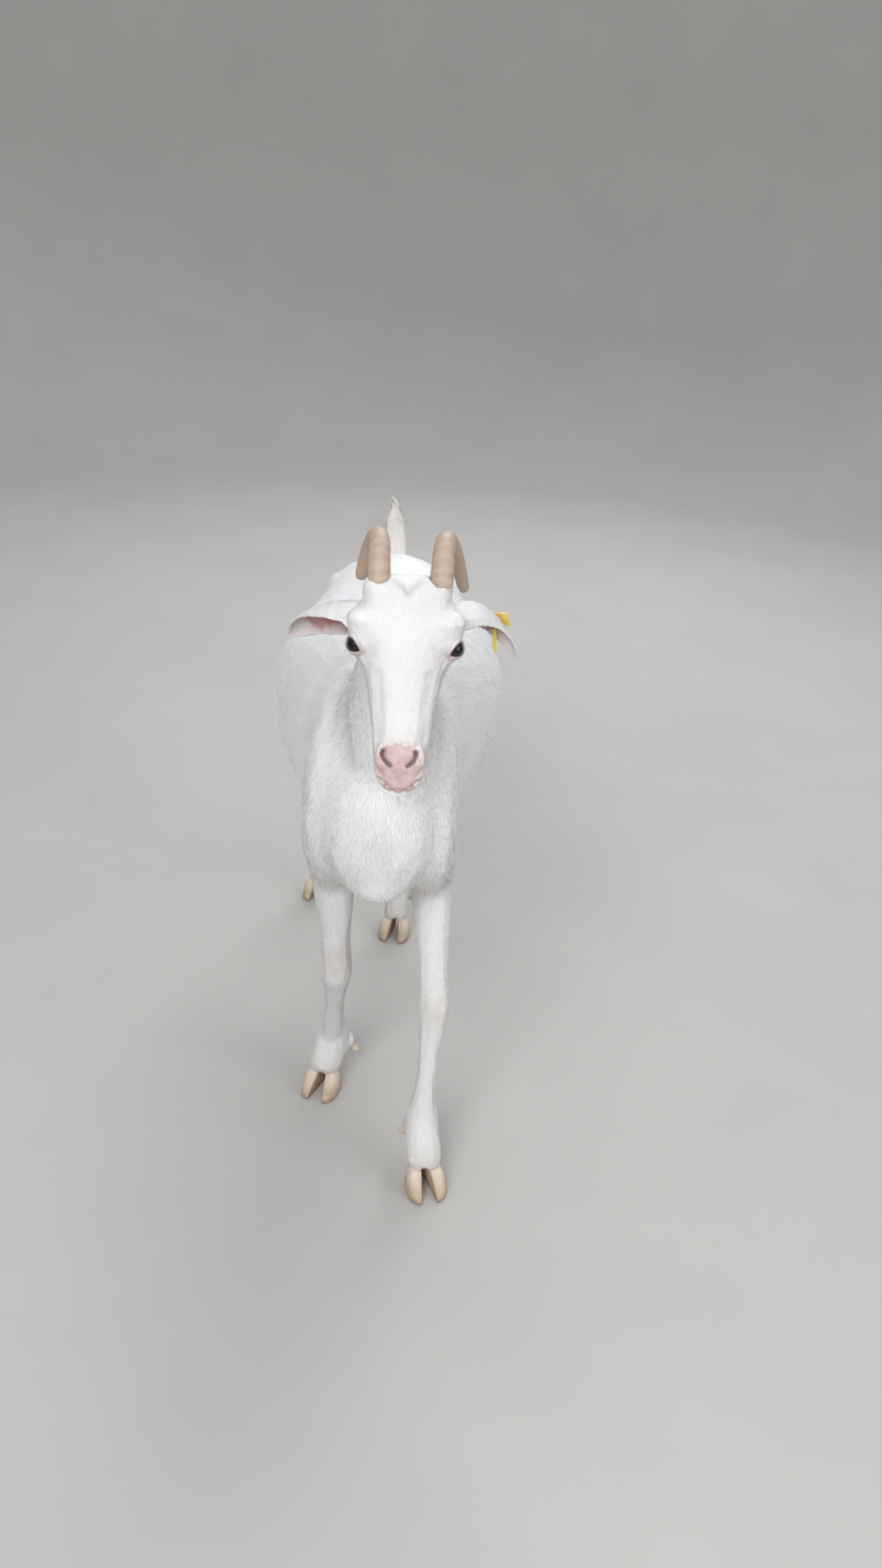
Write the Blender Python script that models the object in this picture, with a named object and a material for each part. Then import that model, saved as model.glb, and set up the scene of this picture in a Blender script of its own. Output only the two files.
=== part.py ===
"""A white, short-haired young doe goat, life-size, in mid-step: one closed solid for each named part.

Metres, +Z up. The goat faces -Y and its left side is +X. The body is lofted from cross-sections,
joined into one skin, and then parted with thin plane cuts.
"""

import math

import bmesh
import bpy
import numpy as np
from mathutils import Euler, Matrix, Vector

# Driving dimensions
GAP = 0.0003  # clearance left between neighbouring pieces
BODY_VOXEL = 0.0052  # grain of the joined skin
HEAD_TRIANGLES = 6600  # grain of the joined skin kept on the head, as a count for the whole of it
BODY_TRIANGLES = 3560  # faces left in the joined skin once the rest is coarser
RING_POINTS = 28
RING_STEPS = 5  # rings added between two stations
HORN_RINGS, HORN_POINTS = 2, 10
EYE_POINTS = 14
DEWCLAW_POINTS = 8

HEAD_X = 0.021  # the head is carried a little to the goat's left
POLL = Vector((HEAD_X, -0.342, 0.905))
FACE_TILT = math.radians(28)  # of the face line from the vertical
FACE_MIDDLE = Vector((HEAD_X, -0.375, 0.815))
HEAD_REACH = 0.135
EYE_RADIUS = 0.0138
EYE_BELOW = 0.071  # down the face from the poll
EYE_OUT = -0.016
EYE_ASIDE = 0.0500
EAR_SKIN = 0.0036
EAR_ARC = 7  # steps across an ear
TAG_STATION = 6  # ring of the left ear that the tag is pinned through
TAG_ROUND = math.radians(20)  # round the ear's back from its middle, towards its rear edge
TAG_PANEL = (0.019, 0.0195, 0.0022)
TAG_PANEL_SHIFT = (-0.0047, 0.0075)  # from the pin: along the ear, and over its back
TAG_PANEL_TURN = math.radians(20)  # the panel hangs askew on its pin
TAG_STUD = (0.0045, 0.029, 0.0018)
TAG_EDGE = 0.0006  # eased edge of the panel and the stud
TAG_PIN = 0.0018
TAG_PIN_REACH = 0.0050  # past the ear's inner wall
TAG_STUD_SHIFT = (0.0026, 0.0115)  # from the pin's inner end: inward, and down
TAG_STUD_HANG = (0.10, -0.12, -1)
SIDES = {"left": 1, "right": -1}

# Where each leg's joints are, in walking order: left fore forward, right fore under the body
LEGS = {
    "fore_left": {
        "shoulder": (0.070, -0.268, 0.552),
        "elbow": (0.070, -0.184, 0.448),
        "knee": (0.084, -0.250, 0.263),
        "fetlock": (0.0755, -0.292, 0.092),
        "coronet": (0.0815, -0.320, 0.036),
        "toe": (0.0920, -0.3640),
    },
    "fore_right": {
        "shoulder": (-0.070, -0.262, 0.552),
        "elbow": (-0.064, -0.176, 0.443),
        "knee": (-0.056, -0.166, 0.252),
        "fetlock": (-0.063, -0.113, 0.092),
        "coronet": (-0.073, -0.126, 0.036),
        "toe": (-0.0860, -0.1680),
    },
    "hind_left": {
        "hip": (0.062, 0.285, 0.640),
        "stifle": (0.092, 0.165, 0.462),
        "hock": (0.046, 0.372, 0.280),
        "fetlock": (0.030, 0.318, 0.092),
        "coronet": (0.027, 0.296, 0.036),
        "toe": (0.0215, 0.2560),
    },
    "hind_right": {
        "hip": (-0.062, 0.285, 0.640),
        "stifle": (-0.098, 0.180, 0.462),
        "hock": (-0.100, 0.440, 0.292),
        "fetlock": (-0.118, 0.430, 0.092),
        "coronet": (-0.123, 0.417, 0.036),
        "toe": (-0.1310, 0.3790),
    },
}

# Trunk stations from chest to rump: y, half width, top, widest level, bottom
TRUNK = (
    (-0.332, 0.028, 0.580, 0.545, 0.515),
    (-0.316, 0.055, 0.618, 0.545, 0.484),
    (-0.280, 0.075, 0.665, 0.550, 0.454),
    (-0.225, 0.083, 0.722, 0.555, 0.425),
    (-0.165, 0.090, 0.742, 0.560, 0.408),
    (-0.100, 0.107, 0.738, 0.567, 0.396),
    (-0.020, 0.142, 0.728, 0.572, 0.382),
    (0.060, 0.168, 0.726, 0.575, 0.374),
    (0.130, 0.174, 0.731, 0.575, 0.378),
    (0.190, 0.160, 0.739, 0.580, 0.398),
    (0.245, 0.132, 0.743, 0.595, 0.430),
    (0.300, 0.108, 0.728, 0.605, 0.458),
    (0.350, 0.084, 0.707, 0.610, 0.500),
    (0.388, 0.058, 0.682, 0.615, 0.550),
    (0.406, 0.026, 0.660, 0.625, 0.590),
)
TRUNK_ROUNDNESS = (2.0, 2.1)  # superellipse powers above and below the widest level

# Neck stations from chest to poll: x, y, z, half width, half depth across the neck
NECK = (
    (0.000, -0.165, 0.600, 0.080, 0.122),
    (0.004, -0.218, 0.668, 0.067, 0.095),
    (0.010, -0.254, 0.735, 0.055, 0.072),
    (0.016, -0.279, 0.792, 0.047, 0.058),
    (0.020, -0.297, 0.842, 0.042, 0.047),
    (0.021, -0.310, 0.872, 0.033, 0.036),
)

# Head stations down the face: distance below the poll, half width, brow line, widest level, jaw line
HEAD = (
    (-0.010, 0.020, -0.020, -0.035, -0.052),
    (0.002, 0.037, -0.002, -0.030, -0.072),
    (0.022, 0.047, 0.009, -0.024, -0.086),
    (0.044, 0.054, 0.015, -0.022, -0.098),
    (0.066, 0.054, 0.014, -0.026, -0.108),
    (0.088, 0.048, 0.009, -0.032, -0.110),
    (0.112, 0.0415, 0.003, -0.036, -0.100),
    (0.142, 0.0365, -0.003, -0.037, -0.083),
    (0.172, 0.0325, -0.006, -0.036, -0.069),
    (0.198, 0.0305, -0.009, -0.036, -0.063),
    (0.218, 0.0260, -0.016, -0.037, -0.058),
    (0.232, 0.0150, -0.026, -0.039, -0.050),
)

HEAD_SQUARENESS = (2.25, 2.0)  # superellipse powers above and below the widest level
JAW_NARROWING = 0.28

# Forms that stand out from the head on each side: place by head_point, half sizes, turn about the face
HEAD_FORMS = {
    "brow": ((0.050, -0.010, 0.0475), (0.0215, 0.022, 0.018), 14),
    "orbit": ((0.068, -0.022, 0.0465), (0.0195, 0.022, 0.019), 0),
    "cheek": ((0.092, -0.066, 0.024), (0.019, 0.037, 0.036), 0),
    "nostril_wing": ((0.198, -0.020, 0.0165), (0.0120, 0.016, 0.012), 0),
    "upper_lip": ((0.215, -0.034, 0.0110), (0.0135, 0.014, 0.013), 0),
    "horn_seat": ((0.010, -0.014, 0.0340), (0.0175, 0.0195, 0.0210), 0),
    "ear_seat": ((0.034, -0.048, 0.044), (0.016, 0.021, 0.020), 0),
}
CHIN = ((0.214, -0.054), (0.0155, 0.013, 0.017))

# Horn stations: distance out from the head's middle, y, z, half width, half depth
HORN = (
    (0.0335, -0.332, 0.880, 0.0128, 0.0168),
    (0.0340, -0.332, 0.899, 0.0126, 0.0165),
    (0.0345, -0.321, 0.920, 0.0120, 0.0150),
    (0.0360, -0.296, 0.9320, 0.0112, 0.0128),
    (0.0425, -0.268, 0.923, 0.0100, 0.0106),
    (0.0510, -0.249, 0.898, 0.0086, 0.0088),
    (0.0575, -0.243, 0.871, 0.0072, 0.0072),
    (0.0590, -0.243, 0.865, 0.0040, 0.0040),
)
HORN_ROOT_SHIFT = 0.0022  # both horns stand a little to the goat's left
HORN_TIP_SHIFT = {"left": (0.0060, -0.0070), "right": (-0.0015, 0.0015)}  # outward and up, full at the tip

# Tail stations: x, y, z, half width, half depth
TAIL = (
    (0.000, 0.372, 0.660, 0.021, 0.018),
    (-0.001, 0.392, 0.688, 0.0205, 0.0140),
    (-0.003, 0.401, 0.714, 0.0200, 0.0115),
    (-0.005, 0.402, 0.738, 0.0180, 0.0100),
    (-0.006, 0.400, 0.759, 0.0145, 0.0085),
    (-0.006, 0.398, 0.776, 0.0080, 0.0055),
    (-0.006, 0.397, 0.783, 0.0035, 0.0030),
)

# Ear stations from root to tip: middle of the back of the ear, the way its hollow faces, half width, cup
EARS = {
    "right": (
        ((-0.024, -0.316, 0.866), (-0.10, -0.72, -0.60), 0.0200, 150),
        ((-0.048, -0.303, 0.860), (-0.15, -0.72, -0.60), 0.0215, 125),
        ((-0.072, -0.289, 0.846), (-0.20, -0.72, -0.60), 0.0215, 98),
        ((-0.092, -0.276, 0.828), (-0.25, -0.74, -0.58), 0.0175, 75),
        ((-0.105, -0.268, 0.812), (-0.25, -0.76, -0.55), 0.0120, 55),
        ((-0.1110, -0.265, 0.803), (-0.25, -0.78, -0.50), 0.0045, 40),
    ),
    "left": (
        ((0.066, -0.318, 0.872), (0.05, -0.50, -0.85), 0.0200, 150),
        ((0.090, -0.304, 0.871), (0.05, -0.40, -0.92), 0.0210, 125),
        ((0.112, -0.290, 0.857), (-0.10, -0.38, -0.92), 0.0205, 98),
        ((0.130, -0.282, 0.836), (-0.35, -0.52, -0.78), 0.0170, 75),
        ((0.1435, -0.279, 0.812), (-0.50, -0.70, -0.50), 0.0115, 50),
        ((0.1505, -0.277, 0.795), (-0.55, -0.78, -0.30), 0.0045, 35),
    ),
}

# Girth of a fore leg below the elbow: bone, share of the way down it, half width, half depth, shift back
FORE_GIRTH = (
    ("upper", 0.55, 0.032, 0.050, 0.000),
    ("forearm", 0.00, 0.032, 0.048, 0.002),
    ("forearm", 0.30, 0.0275, 0.0350, 0.000),
    ("forearm", 0.62, 0.0225, 0.0255, -0.001),
    ("forearm", 0.88, 0.0225, 0.0235, -0.001),
    ("cannon", 0.00, 0.0245, 0.0250, 0.000),
    ("cannon", 0.16, 0.0205, 0.0215, 0.001),
    ("cannon", 0.45, 0.0158, 0.0175, 0.002),
    ("cannon", 0.78, 0.0168, 0.0190, 0.002),
    ("cannon", 1.00, 0.0228, 0.0235, 0.003),
    ("pastern", 0.45, 0.0242, 0.0210, 0.000),
    ("pastern", 0.85, 0.0262, 0.0228, 0.000),
    ("pastern", 1.15, 0.0230, 0.0200, 0.002),
)

# Girth of a hind leg from the stifle down
HIND_GIRTH = (
    ("thigh", 0.80, 0.036, 0.058, 0.012),
    ("gaskin", 0.05, 0.036, 0.056, 0.010),
    ("gaskin", 0.35, 0.0285, 0.0420, 0.004),
    ("gaskin", 0.68, 0.0205, 0.0290, 0.001),
    ("gaskin", 0.90, 0.0195, 0.0260, 0.001),
    ("cannon", 0.00, 0.0210, 0.0265, 0.003),
    ("cannon", 0.18, 0.0185, 0.0220, 0.002),
    ("cannon", 0.48, 0.0150, 0.0172, 0.000),
    ("cannon", 0.80, 0.0160, 0.0185, 0.001),
    ("cannon", 1.00, 0.0205, 0.0225, 0.003),
    ("pastern", 0.45, 0.0195, 0.0190, 0.000),
    ("pastern", 0.85, 0.0235, 0.0210, 0.000),
    ("pastern", 1.15, 0.0205, 0.0185, 0.002),
)

# Shoulder blade of the left side down to its elbow: x, y, z, half width, half depth
BLADE = (
    (0.040, -0.150, 0.712, 0.016, 0.040),
    (0.060, -0.185, 0.655, 0.030, 0.058),
    (0.068, -0.210, 0.590, 0.034, 0.066),
)

# Thigh and ham of the left side, above the stifle
THIGH = (
    (0.048, 0.262, 0.705, 0.030, 0.046),
    (0.068, 0.268, 0.645, 0.043, 0.080),
    (0.078, 0.262, 0.575, 0.046, 0.096),
)
HAM = (
    (0.042, 0.385, 0.640, 0.024, 0.022),
    (0.056, 0.372, 0.585, 0.032, 0.034),
    (0.062, 0.350, 0.520, 0.035, 0.044),
)
# The ham runs on as the tendon: share of the way from stifle to hock, shift back, shift up, half sizes
TENDON = (
    (0.52, -0.014, 0.056, 0.028, 0.036),
    (0.64, -0.004, 0.018, 0.019, 0.025),
    (0.76, -0.002, 0.004, 0.011, 0.013),
)
HIP_BONE = ((0.080, 0.238, 0.696), (0.024, 0.036, 0.017))
PIN_BONE = ((0.040, 0.384, 0.650), (0.020, 0.024, 0.020))
LIMB_SQUARENESS = 2.15

UDDER = ((0, 0.248, 0.428), (0.050, 0.052, 0.046))
TEAT = (
    (0.022, 0.238, 0.408, 0.015, 0.015),
    (0.027, 0.232, 0.384, 0.0095, 0.0095),
    (0.030, 0.227, 0.364, 0.0065, 0.0065),
)
BRISKET = ((0, -0.294, 0.500), (0.044, 0.036, 0.042))

# Outlines of the cuts that part the skin. Fore legs are drawn across (x, z), the rest from the side (y, z)
MIDLINE_GAP = 0.0012  # from the middle plane to the cut of each leg
FORE_LEG_CUT = (
    (MIDLINE_GAP, -0.1),
    (MIDLINE_GAP, 0.408),
    (0.030, 0.408),
    (0.130, 0.478),
    (0.300, 0.478),
    (0.300, -0.1),
)
FORE_LEG_SPAN = (-0.250, 0.120)  # before and behind the elbow
HIND_LEG_CUT = ((0.080, -0.1), (0.080, 0.415), (0.395, 0.565), (0.560, 0.565), (0.560, -0.1))
TAIL_CUT = ((0.300, 0.735), (0.385, 0.700), (0.500, 0.655), (0.500, 0.900), (0.300, 0.900))
HEAD_CUT = (
    (-0.281, 1.000),
    (-0.277, 0.790),
    (-0.330, 0.735),
    (-0.330, 0.600),
    (-0.600, 0.600),
    (-0.600, 1.000),
)
NECK_CUT = ((-0.150, 0.780), (-0.345, 0.590), (-0.600, 0.590), (-0.600, 1.000), (-0.150, 1.000))
CUT_HALF_WIDTH = 0.3

# A claw from toe tip to heel: share of its length, width, height of its top
CLAW_LENGTH = 0.062
CLAW_SPLAY = math.radians(9)
CLAW_APART = 0.0014  # of each claw's inner wall from the middle of the foot, at the heel
CLAW = (
    (0.00, 0.0055, 0.0045),
    (0.08, 0.0125, 0.0115),
    (0.25, 0.0190, 0.0225),
    (0.48, 0.0222, 0.0345),
    (0.72, 0.0222, 0.0370),
    (0.92, 0.0185, 0.0290),
    (1.00, 0.0115, 0.0170),
)
# Outline of a claw seen from its toe: share of the width, share of the height
CLAW_WALL = (
    (0.00, 0.00),
    (0.90, 0.00),
    (1.00, 0.14),
    (0.99, 0.40),
    (0.90, 0.72),
    (0.66, 0.94),
    (0.36, 1.00),
    (0.00, 0.90),
)
DEWCLAW = (0.0074, 0.0070, 0.0135)
DEWCLAW_PLACE = (0.0195, 0.0215, -0.0410)  # aside, behind and below the middle of the fetlock
DEWCLAW_TURN = (18, 28)  # degrees: tipped back, and leaning out
DEWCLAW_PAD = (0.0130, 0.0130, 0.0170)
DEWCLAW_PAD_PLACE = (0.0130, 0.0165, -0.0250)

COLOURS = {
    "coat": ((0.86, 0.84, 0.81), 0.85),
    "eye": ((0.02, 0.018, 0.02), 0.08),
    "horn": ((0.52, 0.43, 0.33), 0.60),
    "hoof": ((0.50, 0.40, 0.28), 0.60),
    "tag": ((0.90, 0.72, 0.10), 0.40),
}


def material(name):
    """The Principled material of that name, made on first use."""
    found = bpy.data.materials.get(name)
    if found:
        return found
    colour, roughness = COLOURS[name]
    made = bpy.data.materials.new(name)
    made.use_nodes = True
    shader = made.node_tree.nodes["Principled BSDF"]
    shader.inputs["Base Color"].default_value = (*colour, 1)
    shader.inputs["Roughness"].default_value = roughness
    shader.inputs["Metallic"].default_value = 0
    return made


def new_object(name, bm, finish="coat"):
    """Turns a bmesh into an object with faces pointing out."""
    bm.normal_update()
    bmesh.ops.recalc_face_normals(bm, faces=bm.faces)
    mesh = bpy.data.meshes.new(name)
    bm.to_mesh(mesh)
    bm.free()
    mesh.shade_smooth()
    obj = bpy.data.objects.new(name, mesh)
    bpy.context.scene.collection.objects.link(obj)
    mesh.materials.append(material(finish))
    return obj


def drop(*objects):
    for obj in objects:
        bpy.data.objects.remove(obj)


def through(rows, steps=RING_STEPS):
    """Catmull-Rom rows through the given rows of numbers, with rings added between them."""
    rows = np.array(rows, float)
    padded = np.vstack([2 * rows[0] - rows[1], rows, 2 * rows[-1] - rows[-2]])
    made = []
    for a, b, c, d in zip(padded, padded[1:], padded[2:], padded[3:]):
        bend, twist = 2 * a - 5 * b + 4 * c - d, 3 * b - a - 3 * c + d
        for t in np.arange(steps) / steps:
            made.append((2 * b + (c - a) * t + bend * t**2 + twist * t**3) / 2)
    made.append(rows[-1])
    return np.array(made)


def power_curve(angle, power):
    """A point of a superellipse with half axes of 1."""
    c, s = math.cos(angle), math.sin(angle)
    return math.copysign(abs(c) ** (2 / power), c), math.copysign(abs(s) ** (2 / power), s)


def bridge(bm, rings):
    """Quads between consecutive rings of points, with a flat face closing each end."""
    loops = [[bm.verts.new(p) for p in ring] for ring in rings]
    for low, high in zip(loops, loops[1:]):
        for i in range(len(low)):
            j = (i + 1) % len(low)
            bm.faces.new((low[i], low[j], high[j], high[i]))
    bm.faces.new(loops[0])
    bm.faces.new(loops[-1])


def tube(name, rows, side=Vector((1, 0, 0)), power=2.0, finish="coat", steps=RING_STEPS, points=RING_POINTS):
    """A loft along a path. Each row is x, y, z, half width along side, half depth across it."""
    rows = through(rows, steps)
    path = [Vector(row[:3]) for row in rows]
    rings = []
    for i, row in enumerate(rows):
        along = (path[min(i + 1, len(rows) - 1)] - path[max(i - 1, 0)]).normalized()
        across = (side - along * side.dot(along)).normalized()
        deep = along.cross(across)
        ring = []
        for k in range(points):
            u, v = power_curve(2 * math.pi * k / points, power)
            ring.append(path[i] + across * (u * row[3]) + deep * (v * row[4]))
        rings.append(ring)
    bm = bmesh.new()
    bridge(bm, rings)
    return new_object(name, bm, finish)


def ball(name, centre, radii, turn=(0, 0, 0), finish="coat", segments=24):
    """An ellipsoid, turned by Euler angles in degrees."""
    bm = bmesh.new()
    bmesh.ops.create_uvsphere(bm, u_segments=segments, v_segments=segments // 2, radius=1)
    turned = Euler([math.radians(a) for a in turn]).to_matrix().to_4x4()
    bm.transform(Matrix.Translation(centre) @ turned @ Matrix.Diagonal((*radii, 1)))
    return new_object(name, bm, finish)


def head_point(below, out, aside=0.0):
    """A place on the head: below the poll along the face, out from the face line, and to the left."""
    down = Vector((0, -math.sin(FACE_TILT), -math.cos(FACE_TILT)))
    outward = Vector((0, -math.cos(FACE_TILT), math.sin(FACE_TILT)))
    return POLL + down * below + outward * out + Vector((aside, 0, 0))


def build_trunk():
    rings = []
    for y, half_width, top, widest, bottom in through(TRUNK):
        ring = []
        for k in range(RING_POINTS * 2):
            angle = math.pi * k / RING_POINTS
            upper = math.sin(angle) >= 0
            u, v = power_curve(angle, TRUNK_ROUNDNESS[0 if upper else 1])
            reach = top - widest if upper else widest - bottom
            ring.append(Vector((u * half_width, y, widest + v * reach)))
        rings.append(ring)
    bm = bmesh.new()
    bridge(bm, rings)
    return new_object("trunk_loft", bm)


def build_head():
    rings = []
    for below, half_width, brow, widest, jaw in through(HEAD):
        ring = []
        for k in range(RING_POINTS):
            angle = 2 * math.pi * k / RING_POINTS
            upper = math.sin(angle) >= 0
            u, v = power_curve(angle, HEAD_SQUARENESS[0 if upper else 1])
            reach = brow - widest if upper else widest - jaw
            narrow = 1 if upper else 1 - JAW_NARROWING * abs(v)
            ring.append(head_point(below, widest + v * reach, u * half_width * narrow))
        rings.append(ring)
    bm = bmesh.new()
    bridge(bm, rings)
    return new_object("head_loft", bm)


def build_head_forms():
    """Brows, cheeks, jaw, nose and lips that stand out from the head's loft."""
    face = math.degrees(FACE_TILT) - 90
    chin_place, chin_size = CHIN
    made = [ball("chin", head_point(*chin_place), chin_size, (face, 0, 0))]
    for side, s in SIDES.items():
        for name, ((below, out, aside), radii, turn) in HEAD_FORMS.items():
            made.append(ball(f"{name}_{side}", head_point(below, out, s * aside), radii, (face, 0, s * turn)))
    return made


def ear_frames(name):
    """Rings of an ear: middle of the arc, along, the hollow's way, across, radius and half the arc."""
    table = [(*place, *faces, half_width, cup) for place, faces, half_width, cup in EARS[name]]
    rows = through(table, 2)
    path = [Vector(row[:3]) for row in rows]
    frames = []
    for i, row in enumerate(rows):
        along = (path[min(i + 1, len(rows) - 1)] - path[max(i - 1, 0)]).normalized()
        faces = Vector(row[3:6])
        faces = (faces - along * faces.dot(along)).normalized()
        cup = math.radians(row[7])
        radius = row[6] / math.sin(min(cup, math.pi / 2))
        frames.append((path[i] + faces * radius, along, faces, along.cross(faces) * SIDES[name], radius, cup))
    return frames


def build_ear(name):
    """A cupped leaf of skin: the section is an arc, nearly closed at the root and open at the tip."""
    rings = []
    for centre, _, faces, across, radius, cup in ear_frames(name):
        skin = min(EAR_SKIN, radius * 0.5)
        arc = [cup * (2 * k / EAR_ARC - 1) for k in range(EAR_ARC + 1)]
        outer = [centre + (across * math.sin(a) - faces * math.cos(a)) * radius for a in arc]
        inner = [centre + (across * math.sin(a) - faces * math.cos(a)) * (radius - skin) for a in arc]
        rings.append(outer + inner[::-1])
    bm = bmesh.new()
    bridge(bm, rings)
    return new_object(f"ear_{name}", bm)


def build_horn(name):
    s = SIDES[name]
    outward, up = HORN_TIP_SHIFT[name]
    rows = []
    for i, (out, y, z, half_width, half_depth) in enumerate(HORN):
        share = (i / (len(HORN) - 1)) ** 3
        x = HEAD_X + HORN_ROOT_SHIFT + s * (out + outward * share)
        rows.append((x, y, z + up * share, half_width, half_depth))
    return tube(f"horn_{name}", rows, finish="horn", steps=HORN_RINGS, points=HORN_POINTS)


def build_claws(foot, joints):
    """The two claws of a foot, flat-soled on the floor, each with its toe turned a little out."""
    toe = Vector((*joints["toe"], 0))
    heel_way = Vector(joints["coronet"]) - toe
    heel_way.z = 0
    heel_way.normalize()
    made = []
    for name, s in (("outer", 1), ("inner", -1)):
        s *= math.copysign(1, toe.x)
        apart = Vector((0, 0, 1)).cross(heel_way) * -s
        if apart.x * s < 0:
            apart = -apart
        rings = []
        for share, width, height in CLAW:
            back = share * CLAW_LENGTH
            inner = CLAW_APART + (CLAW_LENGTH - back) * math.tan(CLAW_SPLAY)
            middle = toe + heel_way * back
            ring = [middle + apart * (inner + u * width) + Vector((0, 0, v * height)) for u, v in CLAW_WALL]
            rings.append(ring)
        bm = bmesh.new()
        bridge(bm, rings)
        made.append(new_object(f"claw_{foot}_{name}", bm, "hoof"))
    return made


def behind_fetlock(joints, place, s):
    """A point aside, behind and below the middle of a fetlock, on the side s."""
    fetlock = Vector(joints["fetlock"])
    back = fetlock - Vector(joints["coronet"])
    aside, behind, below = place
    return fetlock + Vector((back.x, back.y, 0)).normalized() * behind + Vector((s * aside, 0, below))


def build_dewclaws(foot, joints):
    made = []
    for name, s in (("outer", 1), ("inner", -1)):
        s *= math.copysign(1, joints["fetlock"][0])
        place = behind_fetlock(joints, DEWCLAW_PLACE, s)
        turn = (DEWCLAW_TURN[0], -s * DEWCLAW_TURN[1], 0)
        made.append(ball(f"dewclaw_{foot}_{name}", place, DEWCLAW, turn, "hoof", DEWCLAW_POINTS))
    return made


def build_eye(name):
    centre = head_point(EYE_BELOW, EYE_OUT, SIDES[name] * EYE_ASIDE)
    return ball(f"eye_{name}", centre, [EYE_RADIUS] * 3, finish="eye", segments=EYE_POINTS)


def plate(name, centre, size, along, facing):
    """A small plate with eased edges. Its width runs along and its thickness faces out."""
    across = facing.cross(along).normalized()
    along = across.cross(facing)
    bm = bmesh.new()
    bmesh.ops.create_cube(bm, size=1)
    turned = Matrix((along, across, facing)).transposed().to_4x4()
    bm.transform(Matrix.Translation(centre) @ turned @ Matrix.Diagonal((*size, 1)))
    made = new_object(name, bm, "tag")
    soften = made.modifiers.new("soften", "BEVEL")
    soften.width = TAG_EDGE
    soften.segments = 1
    return apply_modifiers(made)


def build_tag():
    """A plain ear tag: a panel behind the ear, a pin through the ear, and a stud hanging inside it."""
    middle, along, faces, across, radius, _ = ear_frames("left")[TAG_STATION]
    out = across * math.sin(TAG_ROUND) - faces * math.cos(TAG_ROUND)
    rearward = across * math.cos(TAG_ROUND) + faces * math.sin(TAG_ROUND)
    wall = middle + out * radius
    aside, over = TAG_PANEL_SHIFT
    panel_place = wall + out * (3 * GAP + TAG_PANEL[2] / 2) + along * aside - rearward * over
    askew = Matrix.Rotation(TAG_PANEL_TURN, 3, out) @ along
    panel = plate("tag_panel", panel_place, TAG_PANEL, askew, out)
    inside = wall - out * (EAR_SKIN + TAG_PIN_REACH)
    outside = wall + out * 2 * GAP
    hang = Vector(TAG_STUD_HANG).normalized()
    facing = (out - hang * out.dot(hang)).normalized()
    inward, down = TAG_STUD_SHIFT
    stud_place = inside - out * inward + hang * down
    stud = plate("tag_stud", stud_place, TAG_STUD, hang.cross(facing), facing)
    bm = bmesh.new()
    length = (outside - inside).length
    bmesh.ops.create_cone(bm, cap_ends=True, segments=10, radius1=TAG_PIN, radius2=TAG_PIN, depth=length)
    turned = out.to_track_quat("Z", "Y").to_matrix().to_4x4()
    bm.transform(Matrix.Translation((inside + outside) / 2) @ turned)
    return panel, new_object("tag_pin", bm, "tag"), stud


def leg_rows(joints, girth, bones):
    """Stations of a leg from its joints and its table of girths."""
    rows = []
    for bone, share, half_width, half_depth, back in girth:
        start, end = (Vector(joints[j]) for j in bones[bone])
        rows.append((*(start.lerp(end, share) + Vector((0, back, 0))), half_width, half_depth))
    return rows


def on_side(rows, s):
    """The rows of a left-side table, mirrored when s is -1."""
    return [(s * row[0], *row[1:]) for row in rows]


def build_fore_leg(name, joints):
    bones = {
        "upper": ("shoulder", "elbow"),
        "forearm": ("elbow", "knee"),
        "cannon": ("knee", "fetlock"),
        "pastern": ("fetlock", "coronet"),
    }
    s = math.copysign(1, joints["elbow"][0])
    shoulder, elbow, knee = (Vector(joints[j]) for j in ("shoulder", "elbow", "knee"))
    blade = [
        *on_side(BLADE, s),
        (*(shoulder.lerp(elbow, 0.35) + Vector((0, 0.008, 0.010))), 0.034, 0.064),
        (*(elbow + Vector((0, -0.012, 0.010))), 0.033, 0.046),
    ]
    upper = [
        (*(shoulder + Vector((-s * 0.012, 0.020, 0.040))), 0.026, 0.030),
        (*(shoulder + Vector((-s * 0.004, 0.008, 0.000))), 0.033, 0.034),
        (*(shoulder.lerp(elbow, 0.50) + Vector((0, 0, -0.004))), 0.035, 0.042),
        (*(elbow + Vector((0, 0, -0.006))), 0.032, 0.040),
    ]
    return [
        tube(f"{name}_blade", blade),
        tube(f"{name}_upper", upper),
        tube(f"{name}_shank", leg_rows(joints, FORE_GIRTH, bones), power=LIMB_SQUARENESS),
        ball(f"{name}_elbow", elbow + Vector((0, 0.030, 0.006)), (0.020, 0.018, 0.024)),
        ball(f"{name}_knee", knee + Vector((0, -0.007, 0.002)), (0.0215, 0.018, 0.027)),
    ]


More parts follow.
